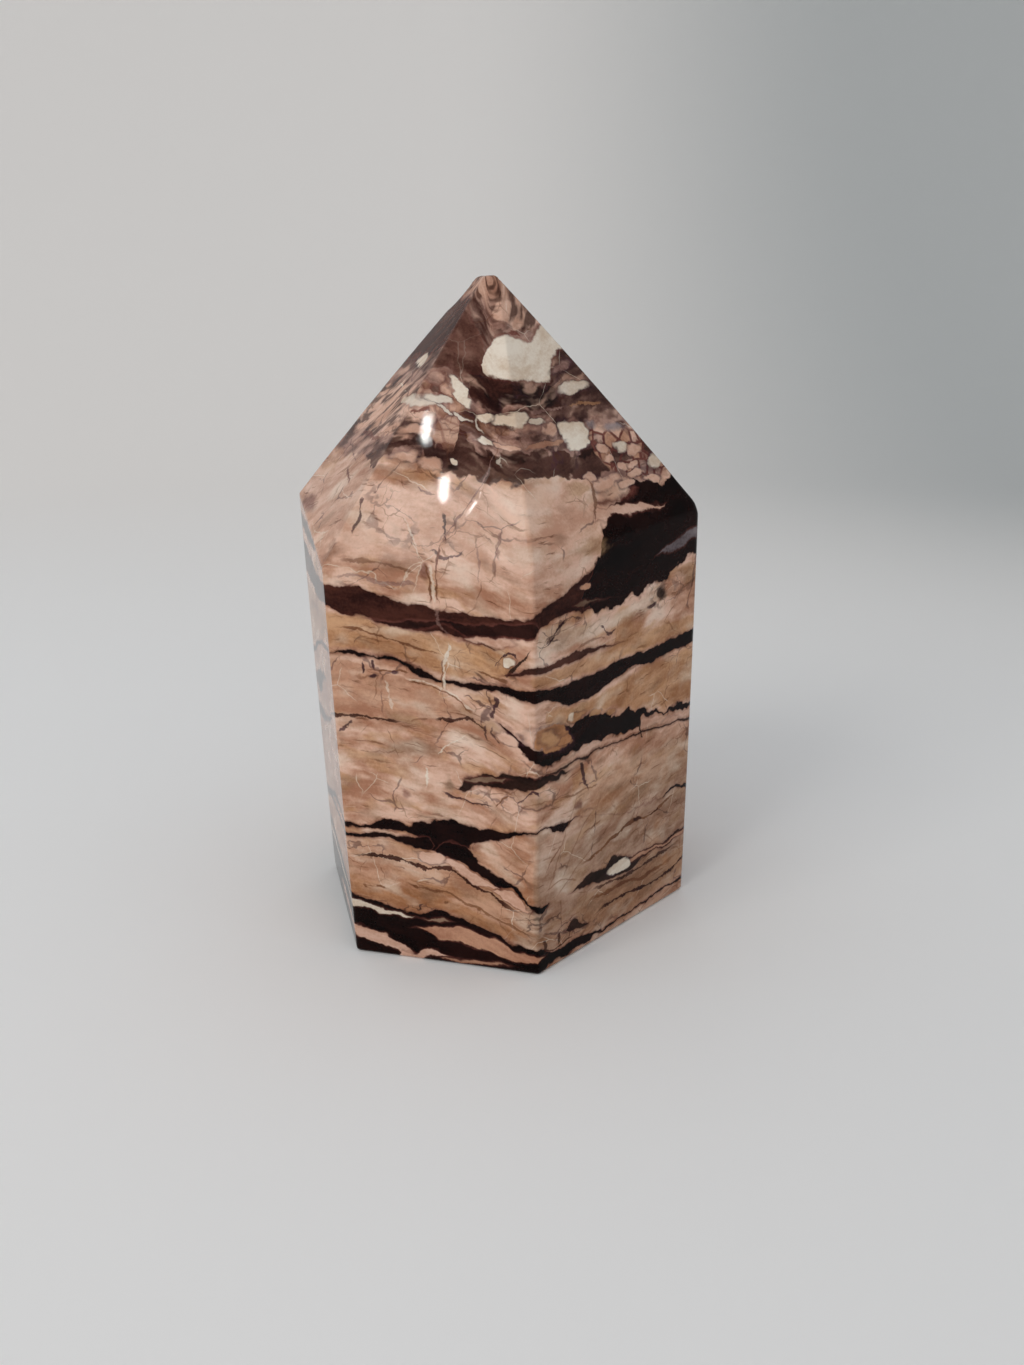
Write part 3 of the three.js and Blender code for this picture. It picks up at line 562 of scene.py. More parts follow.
# Rounded pale pieces, each in a dark rim
CLASTS = (
    *alike("pink pebble", Tone.PINK, 0.88, 0.2, (-17.5, 69.1, 3, 0.55, 0), (-17.8, 67.9, 3, 0.45, 0),
        (-12.6, 66.7, 2.5, 0.7, 0), (-2, 68.5, 3, 0.75, 0.04), (-7.6, 66.6, 2.4, 0.5, 0.04),
        (-2.4, 64.6, 3, 0.45, 0.02), (-15.5, 64.4, 3.6, 0.4, 0.04), (-7, 65.5, 4.6, 0.45, 0.06)),
    *alike("cream pebble", Tone.CREAM, 0.88, 0.25, (-7.4, 69, 3, 0.65, 0.04), (3, 66.4, 3.4, 0.8, 0.05)),
    Spot("second clast", Tone.CREAM, (-92.4, 76.9), (9.8, 0.85), 1.0, 0.15, -0.165),
    Spot("third clast", Tone.CREAM, (-30, 71), (9.2, 1.55), 1.0, 0.12, 0.035),
    Spot("fourth clast", Tone.CREAM, (-13, 76.7), (13, 0.95), 0.85, 0.2, 0.01),
    Spot("clast over the fourth", Tone.MAUVE, (-12, 79.2), (10, 0.5), 0.9, 0.3, 0.05),
    Spot("clast left of the front edge", Tone.CREAM, (-76, 73.85), (5.4, 0.5), 1.0, 0.15, -0.02),
    Spot("clast on the front edge", Tone.CREAM, (-63, 73.4), (7.5, 0.65), 0.95, 0.2),
    Spot("small right clast", Tone.CREAM, (-50.5, 73), (4.8, 0.36), 0.8, 0.2),
    Spot("clast beside the third", Tone.PINK, (-43.5, 72), (5.4, 0.7), 0.8, 0.2, 0.02),
    *alike("pale streak", Tone.CREAM, 0.75, 0.2, (-98, 74.6, 5.4, 0.3, -0.12),
        (-88.5, 73.8, 4.4, 0.28, -0.12)),
    Spot("pale streak middle", Tone.CREAM, (-76, 71), (5, 0.42), 0.9, 0.2, -0.06),
    Spot("pale streak on the edge", Tone.PINK, (-67, 70.5), (4, 0.3), 0.8, 0.2, -0.06),
    Spot("pale streak right", Tone.ROSE, (-50, 70.3), (11, 0.3), 0.7, 0.25, 0.01),
    Spot("white spot in the band", Tone.CREAM, (-88.6, 68.5), (1.7, 0.3), 0.95, 0.2, -0.1),
    Spot("left clast", Tone.CREAM, (-147, 80.4), (9, 0.75), 0.9, 0.2),
    Spot("pale lens on the left band", Tone.PINK, (-110.5, 69.1), (5.4, 0.6), 0.85, 0.3, -0.03),
    *alike("pale patch of the left", Tone.PINK, 0.8, 0.3, (-112, 72.2, 6.5, 0.5, 0),
        (-99.5, 68.3, 5, 0.5, -0.04)),
    Spot("white patch of the left", Tone.CREAM, (-105, 75.9), (8, 0.35), 0.8, 0.3, -0.03),
    Spot("pale streak by the edge", Tone.PINK, (-24, 65), (7.6, 0.7), 0.85, 0.25, 0.06),
    Spot("second pale streak by the edge", Tone.PINK, (-31.4, 65.8), (3, 0.45), 0.8, 0.25, -0.02),
    Spot("white eye", Tone.CREAM, (-70.2, 45.2), (1.7, 0.8), 1.0, 0.15),
    Spot("grey spot in the black patch", Tone.ROSE, (-45.5, 53.5), (2, 0.4), 1.0, 0.2),
    Spot("pale lens of the right side", Tone.CREAM, (-26.4, 10.1), (5.4, 0.8), 0.9, 0.2),
    Spot("first lens under the wedge", Tone.PINK, (-95.8, 16.5), (4.2, 0.8), 0.9, 0.15, -0.05),
    Spot("pink lens by the plum vein", Tone.PINK, (-71.2, 35), (2.6, 0.75), 0.9, 0.2, -0.1),
    Spot("nodule in the bending band", Tone.OCHRE, (-58.6, 34.4), (6.4, 1.9), 0.95, 0.12, -0.1),
    Spot("core of the nodule", Tone.TAN, (-59.6, 34.8), (3.2, 0.9), 0.85, 0.4, -0.1),
    Spot("knob of the nodule", Tone.OCHRE, (-54, 33.7), (2.4, 0.7), 0.9, 0.15, 0.05),
    *alike("nodule over the black band", Tone.TAN, 0.8, 0.2, (-49, 36, 2.8, 0.45, 0.02),
        (-41, 35.6, 3, 0.4, -0.02), (-34, 34.8, 2.4, 0.35, -0.04)),
)

# Small spots
SPOTS = (
    *alike("plum spot", Tone.PLUM, 0.9, 0.35, (-103, 42.8, 1.1, 0.3, 0), (-109.5, 42.2, 1.1, 0.3, 0),
        (-109.2, 43.8, 0.5, 0.5, 0), (-112, 43.4, 0.4, 0.6, 0)),
    *alike("dash", Tone.UMBER, 0.9, 0.35, (-115.8, 10.9, 0.5, 0.4, 0), (-112, 11.1, 1, 0.2, 0),
        (-101.5, 12, 1, 0.2, 0), (-92.3, 9.7, 0.8, 0.2, 0), (-80.5, 9.2, 0.8, 0.25, 0)),
    *alike("ochre stain", Tone.OCHRE, 0.5, 0.9, (-8, 11.6, 3, 0.9, 0), (-7, 13.8, 2.4, 0.9, 0),
        (-2.5, 7.5, 1.4, 0.8, 0), (-36, 22, 6, 0.7, 0)),
    Spot("plum blotch of the right side", Tone.NIGHT, (-9.4, 49.2), (2.2, 1.0)),
    Spot("tail of the blotch", Tone.PLUM, (-13.4, 47.9), (1.8, 0.3)),
    Spot("smudge", Tone.MAROON, (-102.6, 26), (1.3, 0.6), 0.6, 0.6),
    Spot("grey speckle", Tone.GREY, (-89, 27.6), (1.3, 1.0), 0.7, 0.6),
    Spot("blotch of the right side", Tone.MAROON, (-48, 23.3), (1.8, 0.7), 0.7, 0.5),
    Spot("tan patch of the pale area", Tone.OLIVE, (-41, 64.6), (5.5, 0.9), 0.6, 0.4),
    Spot("second tan patch", Tone.OLIVE, (-42.6, 58.2), (5.4, 1.1), 0.6, 0.5),
    Spot("white nodule", Tone.CREAM, (-51.2, 36.3), (1.1, 0.55)),
    Spot("brown triangle", Tone.MAROON, (-93, 56.3), (1.3, 1.1), 0.7, 0.4),
    Spot("shadow under the white spot", Tone.NIGHT, (-88.6, 67.9), (2.4, 0.3), 0.8, 0.4),
    Spot("rosy stain by the limb", Tone.MAROON, (-81.6, 19), (1.4, 0.7), 0.45, 0.9),
    *alike("blue patch", Tone.BLUE, 0.6, 0.5, (-16.5, 72, 3.0, 0.6, 0), (-3.5, 71.4, 4.2, 0.5, 0)),
    Spot("left dark patch", Tone.MAROON, (-163, 61.2), (6.5, 1.1), 0.7, 0.5),
    Spot("left brown patch", Tone.UMBER, (-121.5, 58), (3.0, 1.0), 0.6, 0.6),
)

# Where the stone is broken into pebbles, and where plum-coloured veins run close together
PEBBLED = (
    Bed("pebbles by the right edge", Tone.ROSE, ((-26, 71.6, 70), (-20, None, 66), (-18, 72.4),
         (-12, None, 64.8), (-8, 71.8), (0, None, 64.2), (8, 71.6, 64.6), (40, 71, 66)), 1.0, 1.2),
    Bed("pebbles of the left facet", Tone.ROSE, ((-120, 79.6, 76), (-110, 79.4, 74), (-104, 79, 70.6),
         (-98, 77.4, 69.8), (-90, 75.6, 69.4)), 0.5, 1.0),
)
VEINED = (
    Bed("veins by the front edge", Tone.PLUM, ((-86, 38, 34), (-78, 45, 33), (-70, 47.6, 40),
         (-62, 50, 45), (-46, 50.4, 47)), 0.8, 1.5),
    Bed("veins under the dark lens", Tone.PLUM, ((-92, 28, 24.8), (-80, 27.8, 24), (-60, 28, 24.4),
         (-44, 29.4, 22.4)), 0.6, 1.0),
    Bed("veins of the left facet", Tone.PLUM, ((-128, 68, 58), (-112, 66, 59), (-92, 65.4, 58),
         (-84, 62.4, 57.6)), 0.45, 1.5),
    Bed("veins of the point", Tone.PLUM, ((-120, 83, 72), (-80, 83, 70.4), (-50, 82, 70), (6, 80, 64)),
        0.4, 1.5),
    Bed("veins of the foot", Tone.PLUM, ((-66, 12, 3), (-50, 6.6, 2.4), (-40, 5, 2)), 0.7, 1.0),
    Bed("veins of the right side", Tone.PLUM, ((-20, 50.6, 47), (-10, 51.6, 46.6), (4, 52, 48)), 0.5, 1.0),
)


class Kind(Enum):
    """What runs through a group's socket."""

    NUMBER = "NodeSocketFloat"
    WHOLE = "NodeSocketInt"
    VECTOR = "NodeSocketVector"
    COLOUR = "NodeSocketColor"
    SHAPE = "NodeSocketGeometry"
    FINISH = "NodeSocketMaterial"


def numbers(*names: str) -> dict[str, Kind]:
    """Sockets that take or give plain numbers, by their names."""
    return dict.fromkeys(names, Kind.NUMBER)


class Wire:
    """A value that runs through a node tree. Arithmetic on it adds Math nodes."""

    def __init__(self, tree: "Tree", socket: bpy.types.NodeSocket) -> None:
        """Keeps the tree and the socket that the value comes out of."""
        self.tree = tree
        self.socket = socket

    def __add__(self, other: "Source") -> "Wire":
        """This value plus another."""
        return self.tree.math("ADD", self, other)

    def __sub__(self, other: "Source") -> "Wire":
        """This value less another."""
        return self.tree.math("SUBTRACT", self, other)

    def __rsub__(self, other: "Source") -> "Wire":
        """Another value less this one."""
        return self.tree.math("SUBTRACT", other, self)

    def __mul__(self, other: "Source") -> "Wire":
        """This value times another."""
        return self.tree.math("MULTIPLY", self, other)

    def __truediv__(self, other: "Source") -> "Wire":
        """This value over another."""
        return self.tree.math("DIVIDE", self, other)

    __radd__ = __add__
    __rmul__ = __mul__


Source = Wire | float | tuple | Vector | bpy.types.Material


class Tree:
    """A node tree under construction, of a material, a node group or a modifier."""

    def __init__(self, nodes: bpy.types.NodeTree) -> None:
        """Keeps the tree that nodes are added to."""
        self.nodes = nodes

    def feed(self, socket: bpy.types.NodeSocket, source: Source) -> None:
        """Links a value to a socket, or writes a plain value into it.

        Args:
            socket: The input to feed.
            source: A wire, or a plain number, vector, colour or material.
        """
        if isinstance(source, Wire):
            self.nodes.links.new(source.socket, socket)
        elif socket.type == "VECTOR" and isinstance(source, (int, float)):
            socket.default_value = (source,) * 3
        else:
            socket.default_value = source

    def node(self, kind: str, inputs: dict[str | int, Source] | None = None,
             **settings: object) -> bpy.types.Node:
        """Adds a node.

        Args:
            kind: Its type's name.
            inputs: What feeds its sockets, by name or number.
            **settings: Values of its own properties.

        Returns:
            The node.
        """
        node = self.nodes.nodes.new(kind)
        for name, value in settings.items():
            setattr(node, name, value)
        for name, source in (inputs or {}).items():
            self.feed(node.inputs[name], source)
        return node

    def out(self, node: bpy.types.Node, name: str | int = 0) -> Wire:
        """The wire that leaves a node by one of its outputs."""
        return Wire(self, node.outputs[name])

    def math(self, operation: str, *sources: Source) -> Wire:
        """Adds a Math node, or a Vector Math node where a vector comes in.

        Args:
            operation: The node's operation.
            *sources: What it works on, in order.

        Returns:
            Its result.
        """
        has_vector = any(isinstance(source, (tuple, Vector)) or isinstance(source, Wire)
                         and source.socket.type == "VECTOR" for source in sources)
        node = self.node("ShaderNodeVectorMath" if has_vector else "ShaderNodeMath", operation=operation)
        for socket, source in zip(node.inputs, sources):
            self.feed(socket, source)
        return self.out(node, 1 if operation in {"DOT_PRODUCT", "LENGTH"} else 0)

    def remap(self, value: Source, start: Source, end: Source, low: Source = 0.0, high: Source = 1.0,
              smooth: bool = True) -> Wire:
        """A value carried from one range to another, and held inside it.

        Args:
            value: The value.
            start: Where the first range starts.
            end: Where the first range ends.
            low: What start becomes.
            high: What end becomes.
            smooth: Whether it eases in and out, or runs evenly.

        Returns:
            The new value.
        """
        kind = "SMOOTHSTEP" if smooth else "LINEAR"
        return self.out(self.node("ShaderNodeMapRange", {0: value, 1: start, 2: end, 3: low, 4: high},
                                  interpolation_type=kind, clamp=not smooth))

    def ramp(self, ramp: "Ramp", value: Source) -> Wire:
        """A value as the strength that a ramp makes of it."""
        return self.remap(value, ramp.start, ramp.end, ramp.low, ramp.high)

    def xyz(self, x: Source, y: Source, z: Source = 0.0) -> Wire:
        """A vector from its three parts."""
        return self.out(self.node("ShaderNodeCombineXYZ", {0: x, 1: y, 2: z}))

    def parts(self, vector: Source) -> tuple[Wire, Wire, Wire]:
        """The three parts of a vector."""
        node = self.node("ShaderNodeSeparateXYZ", {0: vector})
        return self.out(node, 0), self.out(node, 1), self.out(node, 2)

    def noise(self, place: Source, scale: float, detail: float = 2.0, roughness: float = 0.5,
              output: str = "Fac") -> Wire:
        """Cloudy noise about one half.

        Args:
            place: Where it is read.
            scale: How fine it is.
            detail: How many finer layers it has.
            roughness: How strong they are.
            output: "Fac" for a number, "Color" for three of them.

        Returns:
            The noise.
        """
        node = self.node("ShaderNodeTexNoise",
                         {"Vector": place, "Scale": scale, "Detail": detail, "Roughness": roughness})
        return self.out(node, output)

    def curve(self, points: Line, value: Source) -> Wire:
        """A smooth line through points, read at a value.

        Args:
            points: The line, as pairs of where and what.
            value: Where it is read.

        Returns:
            The line's value there. Past its ends it stays as it is at them.
        """
        node = self.node("ShaderNodeFloatCurve", {"Value": value})
        node.mapping.use_clip = False
        line = node.mapping.curves[0]
        for _ in points[2:]:
            line.points.new(0.5, 0.5)
        for point, place in zip(line.points, points):
            point.location = place
            point.handle_type = "AUTO_CLAMPED"
        node.mapping.update()
        return self.out(node)

    def mix(self, share: Source, first: Source, second: Source) -> Wire:
        """One colour turning into another."""
        node = self.node("ShaderNodeMix", data_type="RGBA")
        self.feed(node.inputs[0], share)
        self.feed(node.inputs[6], first)
        self.feed(node.inputs[7], second)
        return self.out(node, 2)

    def use(self, group: "Group", inputs: dict[str, Source], label: str = "") -> bpy.types.Node:
        """Places a node group.

        Args:
            group: The group.
            inputs: What feeds its inputs, by their names.
            label: What it makes here.

        Returns:
            The group's node.
        """
        kind = "GeometryNodeGroup" if self.nodes.bl_idname == "GeometryNodeTree" else "ShaderNodeGroup"
        return self.node(kind, inputs, node_tree=group.nodes, label=label)


class Group(Tree):
    """A node group with named inputs and outputs."""

    def __init__(self, name: str, kind: str, inputs: dict[str, Kind], outputs: dict[str, Kind]) -> None:
        """Makes the group and its sockets.

        Args:
            name: The group's name.
            kind: The tree type, for shading or for geometry.
            inputs: What each input takes.
            outputs: What each output gives.
        """
        super().__init__(bpy.data.node_groups.new(name, kind))
        for label, socket in inputs.items():
            self.nodes.interface.new_socket(label, in_out="INPUT", socket_type=socket.value)
        for label, socket in outputs.items():
            self.nodes.interface.new_socket(label, in_out="OUTPUT", socket_type=socket.value)
        self._entry = self.nodes.nodes.new("NodeGroupInput")

    def __getitem__(self, name: str) -> Wire:
        """The wire of a named input."""
        return self.out(self._entry, name)

    def give(self, **results: Source) -> None:
        """Feeds the outputs, whose names start with a capital."""
        self.node("NodeGroupOutput", {name.capitalize(): source for name, source in results.items()})


def linear(colour: Sequence[int]) -> tuple[float, float, float, float]:
    """A colour of 0 to 255 sRGB values as the linear light that shaders take.

    Args:
        colour: Red, green and blue.

    Returns:
        The linear red, green and blue, and full opacity.
    """
    def channel(value: int) -> float:
        """One channel, by the sRGB curve."""
        share = value / 255
        return share / 12.92 if share <= 0.04045 else ((share + 0.055) / 1.055) ** 2.4

    return (*[channel(value) for value in colour], 1.0)


@dataclass(frozen=True)
class Noise:
    """A cloudy noise in the stone.

    The squeeze is its fineness along x, y and up, as shares: low ones draw it out along the beds. The shift
    is how far off it is read, so that no two are alike.
    """

    scale: float
    detail: float = 2.0
    roughness: float = 0.5
    squeeze: Triple = (1.0, 1.0, 1.0)
    shift: Triple = (0.0, 0.0, 0.0)
    folded: bool = True


@dataclass(frozen=True)
class Ramp:
    """A reading as a strength, which goes from low to high as the reading goes from start to end."""

    reading: str
    start: float
    end: float
    low: float = 0.0
    high: float = 1.0


@dataclass(frozen=True)
class Wash:
    """A tone laid over the stone, as strongly as its ramps say together."""

    tone: Tone
    ramps: tuple[Ramp, ...]


@dataclass(frozen=True)
class Veins:
    """Veins of one kind that wander through the stone.

    The bend is how far they stray, in millimetres, the width is a share of their spacing, and the rarity
    says how little of the stone has them. The region is which of three slow noises says where they are.
    """

    tone: Tone
    strength: float
    shift: Triple
    bend: float
    scale: float
    width: float
    rarity: float
    region: int
    squeeze: Triple = (1.0, 1.0, 1.0)
    swells: bool = True


NOISES = {
    "cloud": Noise(0.3, 3.0, 0.6, (0.4, 0.4, 1.0)),
    "streak": Noise(1.5, 2.0, 0.6, (0.25, 0.25, 1.0)),
    "grain": Noise(2.6, 2.0, 0.65, folded=False),
    "fine": Noise(2.2, 2.0, 0.6, (0.1, 0.1, 1.0), (3.0, 9.0, 0.0)),
    "broken": Noise(0.7, 2.0, 0.55, (0.35, 0.35, 0.9), (11.0, 0.0, 0.0)),
    "ochre": Noise(0.4, 2.0, 0.55, (0.4, 0.4, 1.0), (7.0, 3.0, 0.0)),
    "fleck": Noise(0.3, 2.0, 0.5, (0.6, 0.6, 1.0), (5.0, 21.0, 0.0)),
    "rough": Noise(0.55, 2.0, 0.45, (0.8, 0.8, 1.0), (2.0, 4.0, 0.0)),
}
# Noises of three numbers: what moves the markings, what bends the veins and where the veins are
SLOW_WANDER = Noise(0.22, 1.0)
QUICK_WANDER = Noise(1.1)
VEIN_WARP = Noise(0.5, 2.0, 0.6)
VEIN_REGIONS = Noise(0.17, 1.0, shift=(31.0, 17.0, 5.0))
PEBBLE_SCALE = 0.6
PEBBLE_SQUEEZE = (0.8, 0.8, 1.1)

# How far the beds are folded up or down, in millimetres, in each direction
FOLD = ((-270, 1), (-176, -7), (-120, 2), (-95, 0.5), (-80, -0.5), (-66, -3.5), (-56, -3.6), (-30, -1.5),
        (5, 1), (45, 2), (90, 1))

# Shares of the noises in the light and dark of each tone, and in the unevenness of lines
MOTTLE_SHARES = {"cloud": 0.6, "streak": 0.2, "grain": 0.2}
UNEVEN_SHARES = {"grain": 0.4, "rough": 0.6}
MOTTLE = Ramp("mottle", 0.36, 0.64)
UNEVEN = Ramp("uneven", 0.38, 0.62, 0.35, 1.5)
SWELLING = Ramp("rough", 0.38, 0.64, 0.3, 1.6)

# Pink and tan clouds in the rosy stone, and over them cream and grey flecks and umber dashes
CLOUDS = (
    Wash(Tone.PINK, (Ramp("cloud", 0.38, 0.62),)),
    Wash(Tone.TAN, (Ramp("ochre", 0.5, 0.66, 0.0, 0.7),)),
)
FLECKS = (
    Wash(Tone.CREAM, (Ramp("fleck", 0.47, 0.7), Ramp("ochre", 0.6, 0.44, 0.15, 0.4))),
    Wash(Tone.GREY, (Ramp("fleck", 0.5, 0.3), Ramp("ochre", 0.42, 0.58, 0.15, 0.45))),
    Wash(Tone.UMBER, (Ramp("fine", 0.55, 0.68), Ramp("broken", 0.5, 0.64, 0.0, 0.7))),
)
IN_THE_POINT = Ramp("height", 66.0, 71.0)
POINT_CLOUDS = (
    Wash(Tone.PINK, (Ramp("broken", 0.5, 0.7, 0.0, 0.5), IN_THE_POINT)),
    Wash(Tone.CHOCOLATE, (Ramp("broken", 0.52, 0.36, 0.0, 0.85), IN_THE_POINT)),
)
PEBBLE_TONES = (
    Wash(Tone.ROSE, (Ramp("pebble", 0.3, 0.42, 0.0, 0.9),)),
    Wash(Tone.PINK, (Ramp("pebble", 0.6, 0.7, 0.0, 0.9),)),
    Wash(Tone.MAROON, (Ramp("pebble edge", 0.16, 0.04),)),
)

VEINS = (
    Veins(Tone.PLUM, 0.55, (0.0, 0.0, 0.0), 1.8, 0.13, 0.022, 0.5, 0),
    Veins(Tone.UMBER, 0.5, (13.0, 0.0, 40.0), 1.4, 0.24, 0.024, 0.52, 1),
    Veins(Tone.CREAM, 0.6, (0.0, 23.0, 7.0), 0.8, 0.1, 0.006, 0.5, 2, swells=False),
)
CLOSE_VEINS = Veins(Tone.PLUM, 0.85, (9.0, 9.0, 21.0), 1.6, 0.4, 0.08, 0.45, 1, (0.55, 0.55, 1.0))


@dataclass(frozen=True)
class Here:
    """What a marking reads where it is drawn.

    The two noises are about zero, and uneven is how much of its width a line has here. The readings are the
    noises and the height, by the names that ramps use.
    """

    direction: Wire
    height: Wire
    rough: Wire
    coarse: Wire
    uneven: Wire
    readings: dict[str, Wire]
    tones: dict[Tone, Wire]


@dataclass
class JasperPattern:
    """The stone's colours, with painted shade on its foot and left side, as a node group that reads Object
    coordinates.

    It starts at the low height and ends at the high one. Lengths are in millimetres, and what lies aside is
    in degrees.
    """

    low: float
    high: float
    slow_wander: float = 0.9
    quick_wander: float = 0.5
    least_radius: float = 4.0
    streak_aside: float = 0.9
    streak_up: float = 0.25
    grain_up: float = 0.16
    margin: float = 1.6
    seam_fade: float = 0.15
    spot_warp: tuple[float, float] = (14.0, 2.2)
    spot_warp_share: float = 2.4
    group: Group = field(init=False)
    masks: dict[str, Group] = field(init=False)

    def __post_init__(self) -> None:
        """Builds the small groups and then the whole pattern."""
        self.masks = {"bed": self._bed_mask(), "seam": self._seam_mask(), "spot": self._spot_mask(),
                      "vein": self._wandering_vein()}
        self.group = self._pattern()

    @staticmethod
    def _bed_mask() -> Group:
        """How far a height lies between two lines, from 0 outside to 1 inside, and a fringe past them."""
        group = Group("Between two lines", "ShaderNodeTree",
                      numbers("Height", "Top", "Bottom", "Softness", "Strength"), numbers("Fringe", "Mask"))
        inside = group.math("MINIMUM", group["Top"] - group["Height"], group["Height"] - group["Bottom"])
        fringe_start, fringe_end, fringe_share = -0.3, 0.15, 0.55
        fringe_strength = group["Strength"] * fringe_share
        group.give(fringe=group.remap(inside, fringe_start, fringe_end, 0.0, fringe_strength),
                   mask=group.remap(inside, 0.0, group["Softness"], 0.0, group["Strength"]))
        return group

    @staticmethod
    def _seam_mask() -> Group:
        """A thin line's mask, which tapers and fades to both of its ends."""
        group = Group("Thin line", "ShaderNodeTree",
                      numbers("Place", "Across", "Line", "Start", "End", "Fade", "Width", "Softness",
                              "Strength", "Unevenness"), numbers("Mask"))
        to_end = group.math("MINIMUM", group["Place"] - group["Start"], group["End"] - group["Place"])
        fade = group.remap(to_end, 0.0, group["Fade"])
        aside = group.math("ABSOLUTE", group["Across"] - group["Line"])
        inside = group["Width"] * 0.5 * fade * group["Unevenness"] - aside
        mask = group.remap(inside, group["Softness"] * -0.5, group["Softness"] * 0.5, 0.0, group["Strength"])
        group.give(mask=mask * fade)
        return group

    @staticmethod
    def _spot_mask() -> Group:
        """The mask of a rounded spot, and of the rim round it."""
        group = Group("Spot", "ShaderNodeTree",
                      numbers("Direction", "Height", "Middle", "Level", "Half width", "Half height", "Tilt",
                              "Softness", "Strength"), numbers("Rim", "Mask"))
        aside = group["Direction"] - group["Middle"]
        across = aside / group["Half width"]
        up = (group["Height"] - group["Level"] - aside * group["Tilt"]) / group["Half height"]
        away = group.math("SQRT", across * across + up * up)
        rim_reach, rim_strength = 1.4, 0.5
        softness = group["Softness"]
        group.give(rim=group.remap(away, softness + rim_reach, 1.0, 0.0, rim_strength),
                   mask=group.remap(away, softness + 1.0, 1.0 - softness, 0.0, group["Strength"]))
        return group

    @staticmethod
    def _wandering_vein() -> Group:
        """Veins that run between warped cells, and come and go."""
        group = Group("Veins", "ShaderNodeTree",
                      {"Place": Kind.VECTOR, "Warp": Kind.VECTOR,
                       **numbers("Amount", "Scale", "Width", "Presence", "Rarity")}, numbers("Mask"))
        shift = group.node("ShaderNodeVectorMath", {0: group["Warp"], "Scale": group["Amount"]},
                           operation="SCALE")
        cells = group.node("ShaderNodeTexVoronoi", {"Vector": group["Place"] + group.out(shift),
                                                    "Scale": group["Scale"]}, feature="DISTANCE_TO_EDGE")
        core_share, onset = 0.3, 0.1
        line = group.remap(group.out(cells, "Distance"), group["Width"], group["Width"] * core_share)
        group.give(mask=line * group.remap(group["Presence"], group["Rarity"], group["Rarity"] + onset))
        return group

    @staticmethod
    def _noise(group: Group, noise: Noise, place: Wire) -> Wire:
        """A noise, read at a place."""
        return group.noise(place * noise.squeeze + noise.shift, noise.scale, noise.detail, noise.roughness)

    @staticmethod
    def _drift(group: Group, noise: Noise, place: Wire) -> Wire:
        """A noise's three numbers, read at a place, as a vector about one half."""
        return group.noise(place + noise.shift, noise.scale, noise.detail, noise.roughness, "Color")

    def _place(self, group: Group) -> tuple[Wire, Wire, Wire, Wire]:
        """Where a point is on the stone.

        Args:
            group: The pattern's group.

        Returns:
            Its place in millimetres, its direction round the stone in degrees, its height, and
            its place with the folded beds laid level.
        """
        place = group["Position"] * (1 / MM)
        x, y, z = group.parts(place)
        radius = group.math("MAXIMUM", group.math("SQRT", x * x + y * y), self.least_radius)
        turn = group.math("ARCTAN2", y, x) * DEGREES
        direction = group.math("WRAP", turn, BACK_END, BACK_START)
        slow = self._drift(group, SLOW_WANDER, place) - HALVES
        quick = self._drift(group, QUICK_WANDER, place) - HALVES
        aside, _, up = group.parts(slow * self.slow_wander + quick * self.quick_wander)
        fold = group.curve(FOLD, direction)
        height = z + up
        direction = direction + aside * DEGREES / radius
        return place, direction, height, group.xyz(x, y, height - fold)

    def _within(self, item: Bed | Seam | Spot) -> bool:
        """Whether a marking can show between this pattern's lowest and highest heights."""
        return min(item.heights) - self.margin < self.high and max(item.heights) + self.margin > self.low

    def _bed_masks(self, group: Group, bed: Bed, here: Here) -> bpy.types.Node:
        """The node that gives a bed's mask and its fringe's."""
        top, bottom = bed.top, bed.bottom
        first = min(top[0][0], bottom[0][0])
        last = max(top[-1][0], bottom[-1][0])
        if last - first < FULL_TURN:
            start = (first - bed.taper, (top[0][1] + bottom[0][1]) / 2)
            end = (last + bed.taper, (top[-1][1] + bottom[-1][1]) / 2)
            top = (start, *top, end)
            bottom = (start, *bottom, end)
        return group.use(self.masks["bed"], {
            "Height": here.height + here.rough * bed.ragged, "Top": group.curve(top, here.direction),
            "Bottom": group.curve(bottom, here.direction), "Softness": bed.softness,
            "Strength": bed.strength}, bed.name)

    def _lay_bed(self, group: Group, colour: Wire, bed: Bed, here: Here, fringe: Tone | None = None) -> Wire:
        """Lays one bed over a colour and returns the new colour."""
        if not self._within(bed):
            return colour
        masks = self._bed_masks(group, bed, here)
        if fringe:
            colour = group.mix(group.out(masks, "Fringe"), colour, here.tones[fringe])
        return group.mix(group.out(masks, "Mask"), colour, here.tones[bed.tone])

    def _together(self, group: Group, beds: Sequence[Bed], here: Here) -> Wire | float:
        """Several beds' masks as one."""
        result: Wire | float = 0.0
        for bed in beds:
            if self._within(bed):
                result = group.math("MAXIMUM", group.out(self._bed_masks(group, bed, here), "Mask"), result)
        return result

    def _draw_seam(self, group: Group, colour: Wire, seam: Seam, here: Here) -> Wire:
        """Draws one thin line over a colour and returns the new colour."""
        if not self._within(seam):
            return colour
        level = seam.along is Along.DIRECTION
        place, across = (here.direction, here.height) if level else (here.height, here.direction)
        unit = 1.0 if level else 1 / MM_PER_DEGREE
        start, end = seam.path[0][0], seam.path[-1][0]
        mask = group.use(self.masks["seam"], {
            "Place": place, "Across": across, "Line": group.curve(seam.path, place), "Start": start,
            "End": end, "Fade": (end - start) * self.seam_fade, "Width": seam.width * unit,
            "Softness": seam.softness * unit, "Strength": seam.strength,
            "Unevenness": here.uneven}, seam.name)
        return group.mix(group.out(mask), colour, here.tones[seam.tone])

